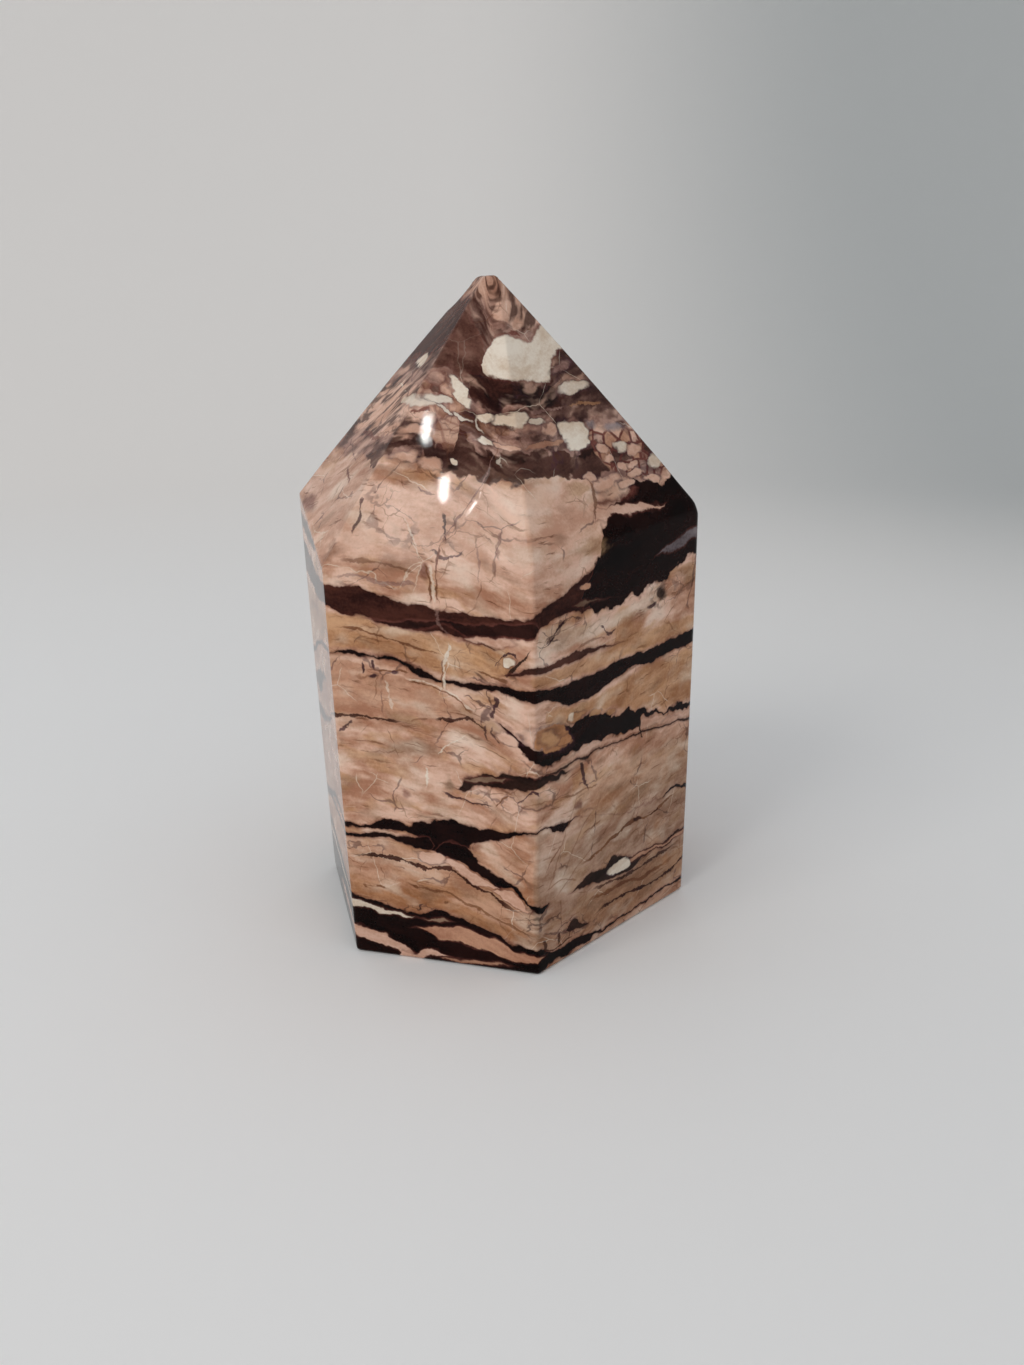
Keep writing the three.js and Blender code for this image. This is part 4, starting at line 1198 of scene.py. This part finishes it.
    def _draw_spot(self, group: Group, colour: Wire, spot: Spot, here: Here, rim: Tone | None = None) -> Wire:
        """Draws one spot over a colour and returns the new colour."""
        if not self._within(spot):
            return colour
        aside, up = (min(most, self.spot_warp_share * half) for most, half in zip(self.spot_warp, spot.size))
        mask = group.use(self.masks["spot"], {
            "Direction": here.direction + here.rough * aside, "Height": here.height + here.coarse * up,
            "Middle": spot.at[0], "Level": spot.at[1], "Half width": spot.size[0],
            "Half height": spot.size[1], "Tilt": spot.tilt, "Softness": spot.softness,
            "Strength": spot.strength}, spot.name)
        if rim:
            colour = group.mix(group.out(mask, "Rim") * here.uneven, colour, here.tones[rim])
        return group.mix(group.out(mask, "Mask"), colour, here.tones[spot.tone])

    @staticmethod
    def _wash(group: Group, colour: Wire, wash: Wash, here: Here, within: Wire | float = 1.0) -> Wire:
        """Lays a wash over a colour, inside a mask, and returns the new colour."""
        share = math.prod(group.ramp(ramp, here.readings[ramp.reading]) for ramp in wash.ramps)
        return group.mix(share * within, colour, here.tones[wash.tone])

    def _veins(self, group: Group, veins: Veins, place: Wire, warp: Wire, regions: Sequence[Wire],
               swelling: Wire) -> Wire:
        """The strength of veins of one kind.

        Args:
            group: The pattern's group.
            veins: The veins.
            place: Where they are read.
            warp: What bends them.
            regions: Three slow noises.
            swelling: How much of its width a vein has here.

        Returns:
            Their mask.
        """
        width = swelling * veins.width if veins.swells else veins.width
        return group.out(group.use(self.masks["vein"], {
            "Place": place * veins.squeeze + veins.shift, "Warp": warp, "Amount": veins.bend,
            "Scale": veins.scale, "Width": width, "Presence": regions[veins.region],
            "Rarity": veins.rarity}))

    def _pebbles(self, group: Group, level: Wire) -> dict[str, Wire]:
        """The cells that broken stone falls into.

        Args:
            group: The pattern's group.
            level: The place with the folded beds laid level.

        Returns:
            A number for each pebble, and the distance to its edge.
        """
        grid = {"Vector": level * PEBBLE_SQUEEZE, "Scale": PEBBLE_SCALE}
        cells = group.node("ShaderNodeTexVoronoi", grid)
        edges = group.node("ShaderNodeTexVoronoi", grid, feature="DISTANCE_TO_EDGE")
        cell = group.node("ShaderNodeSeparateColor", {0: group.out(cells, "Color")})
        return {"pebble": group.out(cell), "pebble edge": group.out(edges, "Distance")}

    def _pattern(self) -> Group:
        """The whole pattern between its two heights."""
        group = Group(f"Zebra jasper {self.low:.0f} to {self.high:.0f}", "ShaderNodeTree",
                      {"Position": Kind.VECTOR}, {"Colour": Kind.COLOUR, "Grain": Kind.NUMBER})
        place, direction, height, level = self._place(group)

        # Every noise comes first, and the beds' places wait for the last of them
        readings = {name: self._noise(group, noise, level if noise.folded else place)
                    for name, noise in NOISES.items()}
        has_pebbles = any(self._within(bed) for bed in PEBBLED)
        if has_pebbles:
            readings |= self._pebbles(group, level)
            cell_aside = 0.01
            direction = direction + readings["pebble"] * cell_aside
        warp = self._drift(group, VEIN_WARP, place) - HALVES
        regions = group.parts(self._drift(group, VEIN_REGIONS, place))
        swelling = group.ramp(SWELLING, readings["rough"])
        veins = [(kind, self._veins(group, kind, place, warp, regions, swelling)) for kind in VEINS]
        close = self._veins(group, CLOSE_VEINS, level, warp, regions, swelling)
        streak, grain = readings["streak"] - 0.5, readings["grain"] - 0.5
        direction = direction + streak * self.streak_aside
        height = height + grain * self.grain_up + streak * self.streak_up
        readings["height"] = height
        mottle = group.ramp(MOTTLE, sum(readings[name] * share for name, share in MOTTLE_SHARES.items()))
        uneven = group.ramp(UNEVEN, sum(readings[name] * share for name, share in UNEVEN_SHARES.items()))
        tones = {tone: group.mix(mottle, *(linear(state) for state in tone.value)) for tone in Tone}
        here = Here(direction, height, readings["rough"] - 0.5, readings["broken"] - 0.5, uneven, readings,
                    tones)

        colour = tones[Tone.ROSE]
        for wash in CLOUDS:
            colour = self._wash(group, colour, wash, here)
        # The zones, then the painted shade of the foot and the left side
        for zone in (*ZONES, *PAINTED_SHADE_BEDS):
            colour = self._lay_bed(group, colour, zone, here)
        for wash in FLECKS:
            colour = self._wash(group, colour, wash, here)
        for bed in POINT_BEDS:
            colour = self._lay_bed(group, colour, bed, here)
        for wash in POINT_CLOUDS:
            colour = self._wash(group, colour, wash, here)
        if has_pebbles:
            pebbled = self._together(group, PEBBLED, here)
            for wash in PEBBLE_TONES:
                colour = self._wash(group, colour, wash, here, pebbled)
        for kind, mask in veins:
            colour = group.mix(mask * kind.strength, colour, tones[kind.tone])
        veined = self._together(group, VEINED, here)
        colour = group.mix(veined * close * CLOSE_VEINS.strength, colour, tones[CLOSE_VEINS.tone])
        for seam in SEAMS:
            colour = self._draw_seam(group, colour, seam, here)
        for bed in (*DARK_BEDS, *PALE_BEDS):
            colour = self._lay_bed(group, colour, bed, here, Tone.MAROON)
        for clast in CLASTS:
            colour = self._draw_spot(group, colour, clast, here, Tone.PLUM)
        for spot in SPOTS:
            colour = self._draw_spot(group, colour, spot, here)
        for crack in CRACKS:
            colour = self._draw_seam(group, colour, crack, here)
        group.give(colour=colour, grain=readings["grain"])
        return group


@dataclass(frozen=True)
class Polish:
    """How smooth a face of the stone is."""

    name: str
    rough: float
    rougher: float
    shine: float
    relief: float


POLISHED = Polish("polished jasper", 0.02, 0.04, 0.06, 0.02)
GROUND = Polish("ground jasper", 0.55, 0.7, 0.5, 0.25)
JASPER_IOR = 1.54
GRAIN_DEPTH = 0.1 * MM

# The heights at which one part of the stone's pattern hands over to the next
PATTERN_STEPS = (-5.0, 0.01, 14.0, 30.0, 46.0, 60.0, 95.0)


def jasper_material(finish: Polish, pattern: JasperPattern) -> bpy.types.Material:
    """The stone's material.

    Args:
        finish: How smooth it is.
        pattern: The colours.

    Returns:
        The material.
    """
    material = bpy.data.materials.new(f"{finish.name} {pattern.low:.0f} to {pattern.high:.0f} mm")
    material.use_nodes = True
    material.node_tree.nodes.clear()
    tree = Tree(material.node_tree)
    place = tree.out(tree.node("ShaderNodeTexCoord"), "Object")
    stone = tree.use(pattern.group, {"Position": place})
    grain = tree.out(stone, "Grain")
    bump = tree.node("ShaderNodeBump", {"Strength": finish.relief, "Distance": GRAIN_DEPTH, "Height": grain})
    roughness = Ramp("grain", 0.35, 0.65, finish.rough, finish.rougher)
    shader = tree.node("ShaderNodeBsdfPrincipled", {
        "Base Color": tree.out(stone, "Colour"), "Roughness": tree.ramp(roughness, grain), "IOR": JASPER_IOR,
        "Specular IOR Level": finish.shine, "Normal": tree.out(bump)}, distribution="GGX")
    tree.node("ShaderNodeOutputMaterial", {"Surface": tree.out(shader)})
    return material


@dataclass(frozen=True)
class Side:
    """A side of the tower and the facet above it.

    Attributes:
        azimuth: The direction that it faces, in degrees.
        reach: How far out its foot is, in millimetres.
        shoulder: The height at which it ends on its left-hand corner as seen from above.
        tip_reach: How far from the axis its facet ends at the tip.
    """

    azimuth: float
    reach: float
    shoulder: float
    tip_reach: float


def polar(direction: float, distance: float, height: float) -> Vector:
    """A point at a distance from the axis, in a direction in degrees, at a height."""
    angle = math.radians(direction)
    return Vector((math.cos(angle) * distance, math.sin(angle) * distance, height))


def as_face(normal: Vector, point: Vector) -> Vector:
    """A plane as one vector: its normal over its distance from the middle of the base.

    Args:
        normal: The way that it faces.
        point: A point on it.

    Returns:
        The vector, whose dot product with any point of the plane is 1.
    """
    return normal / normal.dot(point)


def crossing(first: Vector, second: Vector, height: float) -> Vector:
    """Where two faces cross at a height.

    Args:
        first: A face, as as_face gives it.
        second: Another face.
        height: The height.

    Returns:
        The point.
    """
    determinant = first.x * second.y - first.y * second.x
    a = 1 - first.z * height
    b = 1 - second.z * height
    x, y = a * second.y - b * first.y, first.x * b - second.x * a
    return Vector((x / determinant, y / determinant, height))


@dataclass
class Tower:
    """The stone: six sides that lean out a little, six facets that meet in a blunt tip, and a ground base.

    Sizes are in millimetres, and angles in degrees.
    """

    height: float = 91.2
    flare: float = 0.011
    sides: tuple[Side, ...] = (
        Side(151.7, 24.2, 61.8, 2.2), Side(210.5, 25.8, 56.3, 0.8), Side(270.0, 25.4, 57.9, 1.2),
        Side(330.0, 23.0, 60.3, 2.0), Side(391.4, 25.3, 59.4, 0.5), Side(450.7, 24.7, 58.8, 0.8))
    edge_softness: float = 0.35
    base_softness: float = 0.6
    tip_softness: float = 0.5
    side_fullness: float = 0.12
    point_fullness: float = 0.4
    waviness: float = 0.03
    flat_corner: int = 3
    flat_tilt: float = 22.0
    flat_depth: float = 0.35
    bruise_below: float = 2.4
    bruise_outside: float = 0.15
    bruise_size: Triple = (2.6, 1.1, 0.5)
    bruise_scale: float = 1.4
    groove_reach: float = 0.24
    wave_scale: float = 0.1
    weld: float = 0.001
    # Spans of the mesh's rows, as levels and how many rows reach them. The base is level -1 to 0, the sides
    # 0 to 1, the point 1 to 2 and the tip's flat 2 to 3
    row_spans: tuple[tuple[float, int], ...] = (
        (-1.0, 0), (0.0, 4), (0.016, 5), (0.68, 64), (0.985, 50), (1.018, 7), (1.99, 66), (2.0, 4), (3.0, 3))
    # Spans of its columns, as directions and how many columns reach them: close-set round the grooves
    column_spans: tuple[tuple[float, int], ...] = (
        (-270.0, 0), (-176.0, 88), (-94.0, 120), (-86.0, 50), (-60.0, 56), (10.0, 90), (90.0, 72))

    def _faces(self) -> tuple[list[Vector], list[Vector], Vector]:
        """The sides, the facets above them and the flat on the right shoulder.

        Returns:
            The faces, as as_face gives them.
        """
        sides = []
        for side in self.sides:
            facing = polar(side.azimuth, 1, -self.flare)
            sides.append(as_face(facing, polar(side.azimuth, side.reach, 0)))
        count = len(sides)
        corners = [crossing(sides[i], sides[(i + 1) % count], side.shoulder)
                   for i, side in enumerate(self.sides)]
        facets = []
        for i, side in enumerate(self.sides):
            left, right = corners[i - 1], corners[i]
            top = polar(side.azimuth, side.tip_reach, self.height)
            facets.append(as_face((right - left).cross(top - left), left))
        corner = corners[self.flat_corner]
        direction = math.degrees(math.atan2(corner.y, corner.x))
        tilt = math.radians(self.flat_tilt)
        facing = polar(direction, math.cos(tilt), math.sin(tilt))
        return sides, facets, as_face(facing, corner - facing * self.flat_depth)

    def _bruise(self, sides: list[Vector], facets: list[Vector]) -> dict[str, Vector]:
        """Where the bruise beside the tip lies.

        Args:
            sides: The tower's sides.
            facets: Its facets.

        Returns:
            Its middle and its three half axes, each divided by its own square, by the inputs' names.
        """
        middle = crossing(facets[0], facets[1], self.height - self.bruise_below)
        foot = crossing(sides[0], sides[1], self.sides[0].shoulder)
        along = (middle - foot).normalized()
        outward = (facets[0].normalized() + facets[1].normalized()).normalized()
        across = outward.cross(along)
        long, wide, deep = self.bruise_size
        return {"Bruise middle": middle + outward * self.bruise_outside, "Bruise along": along / long,
                "Bruise across": across / wide, "Bruise outward": outward / deep}

    @staticmethod
    def _face_reach() -> Group:
        """The distance from the axis to a face, in a direction, at a height."""
        group = Group("Face reach", "GeometryNodeTree",
                      {"Face": Kind.VECTOR, "Direction": Kind.VECTOR, "Height": Kind.NUMBER},
                      numbers("Reach"))
        facing = group.math("DOT_PRODUCT", group["Face"], group["Direction"])
        rise = group.parts(group["Face"])[2]
        least_facing = 0.002
        group.give(reach=(1.0 - rise * group["Height"]) / group.math("MAXIMUM", facing, least_facing))
        return group

    @staticmethod
    def _shoulder() -> Group:
        """The height at which a side meets its facet in a direction, kept if that side is the nearest."""
        group = Group("Shoulder", "GeometryNodeTree",
                      {"Side": Kind.VECTOR, "Facet": Kind.VECTOR, "Direction": Kind.VECTOR,
                       **numbers("Facing so far", "Shoulder so far")}, numbers("Facing", "Shoulder"))
        side = group.math("DOT_PRODUCT", group["Side"], group["Direction"])
        facet = group.math("DOT_PRODUCT", group["Facet"], group["Direction"])
        side_rise = group.parts(group["Side"])[2]
        facet_rise = group.parts(group["Facet"])[2]
        meeting = (facet - side) / (side_rise * facet - facet_rise * side)
        nearer = group.math("GREATER_THAN", side, group["Facing so far"])
        group.give(facing=group.math("MAXIMUM", side, group["Facing so far"]),
                   shoulder=meeting * nearer + group["Shoulder so far"] * (1.0 - nearer))
        return group

    @staticmethod
    def _quarter_round(group: Group, size: Wire, distance: Wire) -> Wire:
        """How far a quarter-round has cut back, at a distance from where it begins."""
        left = group.math("MAXIMUM", size - distance, 0.0)
        return size - group.math("SQRT", size * size - left * left)

    @staticmethod
    def _stepped(group: Group, count: Wire, spans: Sequence[tuple[float, int]]) -> Wire:
        """A value that rises span by span with a count.

        Args:
            group: The tree.
            count: The number of a row or column.
            spans: The values reached, and how many steps each takes.

        Returns:
            The value.
        """
        total = 0
        value = None
        for (before, _), (after, steps) in zip(spans, spans[1:]):
            rise = group.remap(count, float(total), float(total + steps), 0.0, after - before, smooth=False)
            value = rise + (before if value is None else value)
            total += steps
        return value

    def _tree(self) -> Group:
        """The Geometry Nodes tree that wraps a grid round the axis and shapes it as the stone."""
        count = len(self.sides)
        names = [f"{face} {i}" for face in ("Side", "Facet") for i in range(count)] + ["Shoulder flat"]
        group = Group("Pointed stone", "GeometryNodeTree",
                      {"Cracks": Kind.SHAPE, "Columns": Kind.WHOLE, "Rows": Kind.WHOLE,
                       **numbers(*self._sizes()), **dict.fromkeys(names, Kind.VECTOR),
                       **{f"Bruise {word}": Kind.VECTOR for word in ("middle", "along", "across", "outward")},
                       **{f"Finish from {step:g} mm": Kind.FINISH for step in PATTERN_STEPS[:-1]}},
                      {"Stone": Kind.SHAPE})
        grid = group.node("GeometryNodeMeshGrid", {
            "Size X": group["Columns"], "Size Y": group["Rows"],
            "Vertices X": group["Columns"] + 1, "Vertices Y": group["Rows"] + 1})
        spot = group.out(group.node("GeometryNodeInputPosition"))
        across, up, _ = group.parts(spot)
        column = across + group["Columns"] * 0.5
        row = up + group["Rows"] * 0.5
        angle = self._stepped(group, column, self.column_spans) * (1 / DEGREES)
        level = self._stepped(group, row, self.row_spans)
        direction = group.xyz(group.math("COSINE", angle), group.math("SINE", angle))

        shoulder_group = self._shoulder()
        facing: Source = 0.0
        shoulder: Source = 0.0
        for i in range(count):
            step = group.use(shoulder_group, {"Side": group[f"Side {i}"], "Facet": group[f"Facet {i}"],
                                              "Direction": direction, "Facing so far": facing,
                                              "Shoulder so far": shoulder})
            facing, shoulder = group.out(step, 0), group.out(step, 1)
        side_share = group.remap(level, 0.0, 1.0, smooth=False)
        point_share = group.remap(level, 1.0, 2.0, smooth=False)
        height = shoulder * side_share + (group["Height"] - shoulder) * point_share

        reach_group = self._face_reach()
        reaches = [group.out(group.use(reach_group, {"Face": group[name], "Direction": direction,
                                                     "Height": height})) for name in names]
        reach = reaches[0]
        for next_reach in reaches[1:]:
            reach = group.math("SMOOTH_MIN", reach, next_reach, group["Edge softness"])
        full = (group["Side fullness"] * side_share * (1.0 - side_share)
                + group["Point fullness"] * point_share * (1.0 - point_share)) * 4.0
        cut = (self._quarter_round(group, group["Base softness"], height)
               + self._quarter_round(group, group["Tip softness"], group["Height"] - height))
        disc = group.remap(level, -1.0, 0.0, smooth=False) * group.remap(level, 3.0, 2.0, smooth=False)
        radius = (reach + full - cut) * disc
        wrapped = group.node("GeometryNodeSetPosition", {
            "Geometry": group.out(grid), "Position": direction * radius + group.xyz(0.0, 0.0, height)})
        welded = group.node("GeometryNodeMergeByDistance",
                            {"Geometry": group.out(wrapped), "Distance": self.weld})
        group.give(stone=self._worn(group, group.out(welded)))
        return group

    def _worn(self, group: Group, stone: Wire) -> Wire:
        """The stone with its bruise, its grooves and the slight waviness of a hand-held polish.

        Args:
            group: The tree.
            stone: The clean shape.

        Returns:
            The worn shape, with its materials.
        """
        spot = group.out(group.node("GeometryNodeInputPosition"))
        x, y, z = group.parts(spot)
        offset = spot - group["Bruise middle"]
        long = group.math("DOT_PRODUCT", offset, group["Bruise along"])
        wide = group.math("DOT_PRODUCT", offset, group["Bruise across"])
        out = group.math("DOT_PRODUCT", offset, group["Bruise outward"])
        uneven = group.noise(spot, self.bruise_scale) * 0.8 + 0.6
        room = group.math("MAXIMUM", 1.0 - long * long - wide * wide, 0.0)
        hollow = group.math("SQRT", room) * uneven
        sink = group.math("MAXIMUM", out + hollow, 0.0) * group.math("GREATER_THAN", room, 0.0)
        outward = group["Bruise outward"]
        push = outward / group.math("DOT_PRODUCT", outward, outward) * sink * -1.0

        direction = group.math("WRAP", group.math("ARCTAN2", y, x) * DEGREES, BACK_END, BACK_START)
        unrolled = group.xyz(direction * MM_PER_DEGREE, z)
        near = group.node("GeometryNodeProximity", {0: group["Cracks"], "Sample Position": unrolled},
                          target_element="EDGES")
        closest = group.node("GeometryNodeSampleNearest",
                             {"Geometry": group["Cracks"], "Sample Position": unrolled})
        named = group.node("GeometryNodeInputNamedAttribute", {"Name": "depth"}, data_type="FLOAT")
        depth = group.node("GeometryNodeSampleIndex", {
            "Geometry": group["Cracks"], "Value": group.out(named), "Index": group.out(closest)})
        valley = group.remap(group.out(near, "Distance"), self.groove_reach, 0.0) * group.out(depth)
        radial = group.math("NORMALIZE", group.xyz(x, y))
        calm_foot = 2.0
        wave = (group.noise(spot, self.wave_scale, 1.0) - 0.5) * group["Waviness"]
        wave = wave * group.remap(z, 0.0, calm_foot)
        shift = push + radial * (wave - valley)
        worn = group.node("GeometryNodeSetPosition", {"Geometry": stone, "Offset": shift})
        smooth = group.node("GeometryNodeSetShadeSmooth", {"Geometry": group.out(worn)})
        stone = group.out(group.node("GeometryNodeRealizeInstances", {"Geometry": group.out(smooth)}))
        height = group.parts(group.out(group.node("GeometryNodeInputPosition")))[2]
        for step in PATTERN_STEPS[:-1]:
            stone = group.out(group.node("GeometryNodeSetMaterial", {
                "Geometry": stone, "Selection": group.math("GREATER_THAN", height, step),
                "Material": group[f"Finish from {step:g} mm"]}))
        return stone

    @staticmethod
    def _crack_lines() -> bpy.types.Mesh:
        """The cracks that have depth, as lines on the unrolled surface.

        Returns:
            A mesh of edges, with each point's depth.
        """
        points: list[tuple[float, float, float]] = []
        edges: list[tuple[int, int]] = []
        depths: list[float] = []
        for crack in CRACKS:
            if crack.depth == 0:
                continue
            first = len(points)
            points += [(direction * MM_PER_DEGREE, height, 0.0) for height, direction in crack.path]
            depths += [crack.depth] * len(crack.path)
            edges += [(i, i + 1) for i in range(first, len(points) - 1)]
        mesh = bpy.data.meshes.new("crack lines")
        mesh.from_pydata(points, edges, [])
        mesh.attributes.new("depth", "FLOAT", "POINT").data.foreach_set("value", depths)
        return mesh

    def _sizes(self) -> dict[str, float]:
        """The sizes that the tree takes, by its inputs' names."""
        names = ("height", "edge_softness", "base_softness", "tip_softness", "side_fullness",
                 "point_fullness", "waviness")
        return {name.replace("_", " ").capitalize(): getattr(self, name) for name in names}

    def build(self, finishes: Sequence[bpy.types.Material]) -> bpy.types.Object:
        """Makes the stone.

        Args:
            finishes: The materials of its base and of each part of its height, upwards.

        Returns:
            The finished object.
        """
        sides, facets, flat = self._faces()
        values: dict[str, object] = {
            "Columns": sum(steps for _, steps in self.column_spans),
            "Rows": sum(steps for _, steps in self.row_spans), **self._sizes(),
            **{f"Side {i}": side for i, side in enumerate(sides)},
            **{f"Facet {i}": facet for i, facet in enumerate(facets)},
            "Shoulder flat": flat, **self._bruise(sides, facets),
            **{f"Finish from {step:g} mm": finish for step, finish in zip(PATTERN_STEPS, finishes)}}
        source = bpy.data.objects.new("stone lines", self._crack_lines())
        bpy.context.scene.collection.objects.link(source)
        tree = self._tree().nodes
        modifier = source.modifiers.new("stone", "NODES")
        modifier.node_group = tree
        for item in tree.interface.items_tree:
            if item.in_out == "INPUT" and item.name in values:
                modifier[item.identifier] = values[item.name]
        bpy.context.view_layer.update()
        mesh = bpy.data.meshes.new_from_object(source.evaluated_get(bpy.context.evaluated_depsgraph_get()))
        bpy.data.objects.remove(source)
        mesh.name = "zebra jasper tower"
        if mesh.materials[0] is None:
            mesh.materials.pop(index=0)
        return self._placed(mesh)

    @staticmethod
    def _placed(mesh: bpy.types.Mesh) -> bpy.types.Object:
        """The stone as an object in metres, standing where its solid stands.

        Args:
            mesh: The stone, in millimetres about its axis.

        Returns:
            The object.
        """
        low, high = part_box("tower")
        spots = [vertex.co for vertex in mesh.vertices]
        spans = [max(s[i] for s in spots) - min(s[i] for s in spots) for i in range(3)]
        mesh.transform(Matrix.Scale(min(MM, *((high - low)[i] / spans[i] for i in range(3))), 4))
        middle = Vector([(min(s[i] for s in spots) + max(s[i] for s in spots)) / 2 for i in range(3)])
        shift = (low + high) / 2 - middle
        shift.z = low.z - min(s.z for s in spots)
        mesh.transform(Matrix.Translation(shift))
        stone = bpy.data.objects.new("zebra_jasper_tower", mesh)
        bpy.context.scene.collection.objects.link(stone)
        return stone


@dataclass(frozen=True)
class Glint:
    """A small lamp that only the polish mirrors, placed where the front facet shows it to the camera."""

    name: str
    place: Triple
    size: Pair
    power: float


@dataclass
class Studio:
    """The pale sweep, the soft lights and the camera, in metres and degrees."""

    floor_radius: float = 0.42
    wall_radius: float = 0.9
    wall_height: float = 0.62
    sweep_steps: int = 24
    segments: int = 96
    speckle: float = 6.0
    glints: tuple[Glint, ...] = (
        Glint("upper glint", (-0.2423, -0.234, 0.5776), (0.004, 0.028), 0.12),
        Glint("lower glint", (-0.2275, -0.2836, 0.5546), (0.004, 0.022), 0.1),
        Glint("panel", (-0.2098, -0.3097, 0.5438), (0.12, 0.07), 0.3))
    glint_lean: Triple = (0.0, 0.87, 0.48)
    key_place: Triple = (-0.33, -0.58, 0.5)
    key_size: Pair = (0.4, 0.4)
    key_power: float = 1.62
    aim: Triple = (0.0, 0.0, 0.045)
    sky: tuple[float, float, float, float] = (0.93, 0.96, 1.0, 1.0)
    sky_strength: float = 0.6
    camera_place: Triple = (0.04441, -0.15053, 0.08755)
    pitch: float = -19.1
    yaw: float = -15.61
    roll: float = 1.36
    lens: float = 29.0
    sensor: float = 36.0
    clip_start: float = 0.01

    def _profile(self) -> list[Pair]:
        """The floor's profile outwards, as radii and heights."""
        profile = [(self.floor_radius * 0.5, 0.0), (self.floor_radius, 0.0)]
        for step in range(1, self.sweep_steps + 1):
            angle = math.pi / 2 * step / self.sweep_steps
            profile.append((self.floor_radius + (self.wall_radius - self.floor_radius) * math.sin(angle),
                            self.wall_height * (1 - math.cos(angle))))
        return profile

    def floor(self) -> bpy.types.Object:
        """A round floor whose rim sweeps up into a wall, so that no horizon shows.

        Returns:
            The floor.
        """
        profile = self._profile()
        count = self.segments
        turns = [2 * math.pi * i / count for i in range(count)]
        points = [(0.0, 0.0, 0.0)]
        points += [(radius * math.cos(turn), radius * math.sin(turn), height)
                   for radius, height in profile for turn in turns]
        faces: list[tuple[int, ...]] = [(0, 1 + i, 1 + (i + 1) % count) for i in range(count)]
        for start in range(1, 1 + (len(profile) - 1) * count, count):
            for i in range(count):
                near, far = start + i, start + (i + 1) % count
                faces.append((near, near + count, far + count, far))
        mesh = bpy.data.meshes.new("floor")
        mesh.from_pydata(points, [], faces)
        mesh.shade_smooth()
        mesh.materials.append(self._floor_material())
        floor = bpy.data.objects.new("floor", mesh)
        bpy.context.scene.collection.objects.link(floor)
        return floor

    def _floor_material(self) -> bpy.types.Material:
        """A matt pale finish, with painted light making it lighter and warmer towards the back, and painted
        shade making it darker towards the back right.

        Returns:
            The material.
        """
        material = bpy.data.materials.new("pale floor")
        material.use_nodes = True
        material.node_tree.nodes.clear()
        tree = Tree(material.node_tree)
        place = tree.out(tree.node("ShaderNodeTexCoord"), "Object")
        x, y, z = tree.parts(place)
        back = tree.ramp(Ramp("back", 0.0, 0.4), y + z * 0.5)
        right = tree.ramp(Ramp("right", -0.05, 0.3), x + y * 0.28)
        even = tree.mix(tree.noise(place, self.speckle, 3.0), linear((241, 241, 240)),
                        linear((247, 246, 245)))
        # Painted light: the floor lighter and warmer towards the back
        painted_light_back = tree.mix(back, even, linear((248, 244, 240)))
        # Painted shade: the floor darker towards the back right, where less light falls
        colour = tree.mix(back * right, painted_light_back, linear((198, 200, 199)))
        matt = tree.node("ShaderNodeBsdfDiffuse", {"Color": colour})
        tree.node("ShaderNodeOutputMaterial", {"Surface": tree.out(matt)})
        return material

    @staticmethod
    def lamp(name: str, place: Triple, target: Triple, size: Pair, power: float,
             lean: Triple = (0.0, 0.0, 1.0), colour: Triple = (1.0, 0.97, 0.93)) -> bpy.types.Object:
        """Adds a rectangular area light.

        Args:
            name: Its name.
            place: Where it is.
            target: What it points at.
            size: Its two sides.
            power: Its power in watts.
            lean: The way that its second side leans.
            colour: Its colour.

        Returns:
            The lamp.
        """
        light = bpy.data.lights.new(name, "AREA")
        light.shape = "RECTANGLE"
        light.size, light.size_y = size
        light.energy = power
        light.color = colour
        lamp = bpy.data.objects.new(name, light)
        back = (Vector(place) - Vector(target)).normalized()
        aside = Vector(lean).cross(back).normalized()
        turn = Matrix((aside, back.cross(aside), back)).transposed()
        lamp.matrix_world = Matrix.Translation(place) @ turn.to_4x4()
        bpy.context.scene.collection.objects.link(lamp)
        return lamp

    def lights(self) -> None:
        """A soft key from the front left, an even sky, and lamps that glint on the front facet."""
        self.lamp("key", self.key_place, self.aim, self.key_size, self.key_power)
        for glint in self.glints:
            lamp = self.lamp(glint.name, glint.place, self.aim, glint.size, glint.power, self.glint_lean)
            lamp.visible_diffuse = False
        world = bpy.data.worlds.new("sky")
        world.use_nodes = True
        background = world.node_tree.nodes["Background"]
        background.inputs["Color"].default_value = self.sky
        background.inputs["Strength"].default_value = self.sky_strength
        bpy.context.scene.world = world

    def camera(self) -> None:
        """The camera at the photograph's angle."""
        data = bpy.data.cameras.new("camera")
        data.lens = self.lens
        data.sensor_width = self.sensor
        data.clip_start = self.clip_start
        camera = bpy.data.objects.new("camera", data)
        pitch, yaw, roll = (math.radians(angle) for angle in (self.pitch, self.yaw, self.roll))
        forward = Vector((math.sin(yaw) * math.cos(pitch), math.cos(yaw) * math.cos(pitch), math.sin(pitch)))
        right = Vector((math.cos(yaw), -math.sin(yaw), 0.0))
        down = forward.cross(right)
        turned_right = right * math.cos(roll) + down * math.sin(roll)
        turned_down = down * math.cos(roll) - right * math.sin(roll)
        turn = Matrix((turned_right, -turned_down, -forward)).transposed()
        camera.matrix_world = Matrix.Translation(self.camera_place) @ turn.to_4x4()
        bpy.context.scene.collection.objects.link(camera)
        bpy.context.scene.camera = camera

    def build(self) -> None:
        """Sets the whole studio."""
        self.floor()
        self.lights()
        self.camera()
        bpy.context.scene.view_settings.view_transform = "Standard"


def main() -> None:
    """Builds the studio and the tower, and reports them."""
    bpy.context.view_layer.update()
    Studio().build()
    finishes = [jasper_material(POLISHED if low > 0 else GROUND, JasperPattern(low, high))
                for low, high in zip(PATTERN_STEPS, PATTERN_STEPS[1:])]
    stone = Tower().build(finishes)
    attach(stone, "root")
    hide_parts("tower")
    triangles = sum(len(face.vertices) - 2 for face in stone.data.polygons)
    LOG.info("%s: %d triangles", stone.name, triangles)


if __name__ == "__main__":
    main()
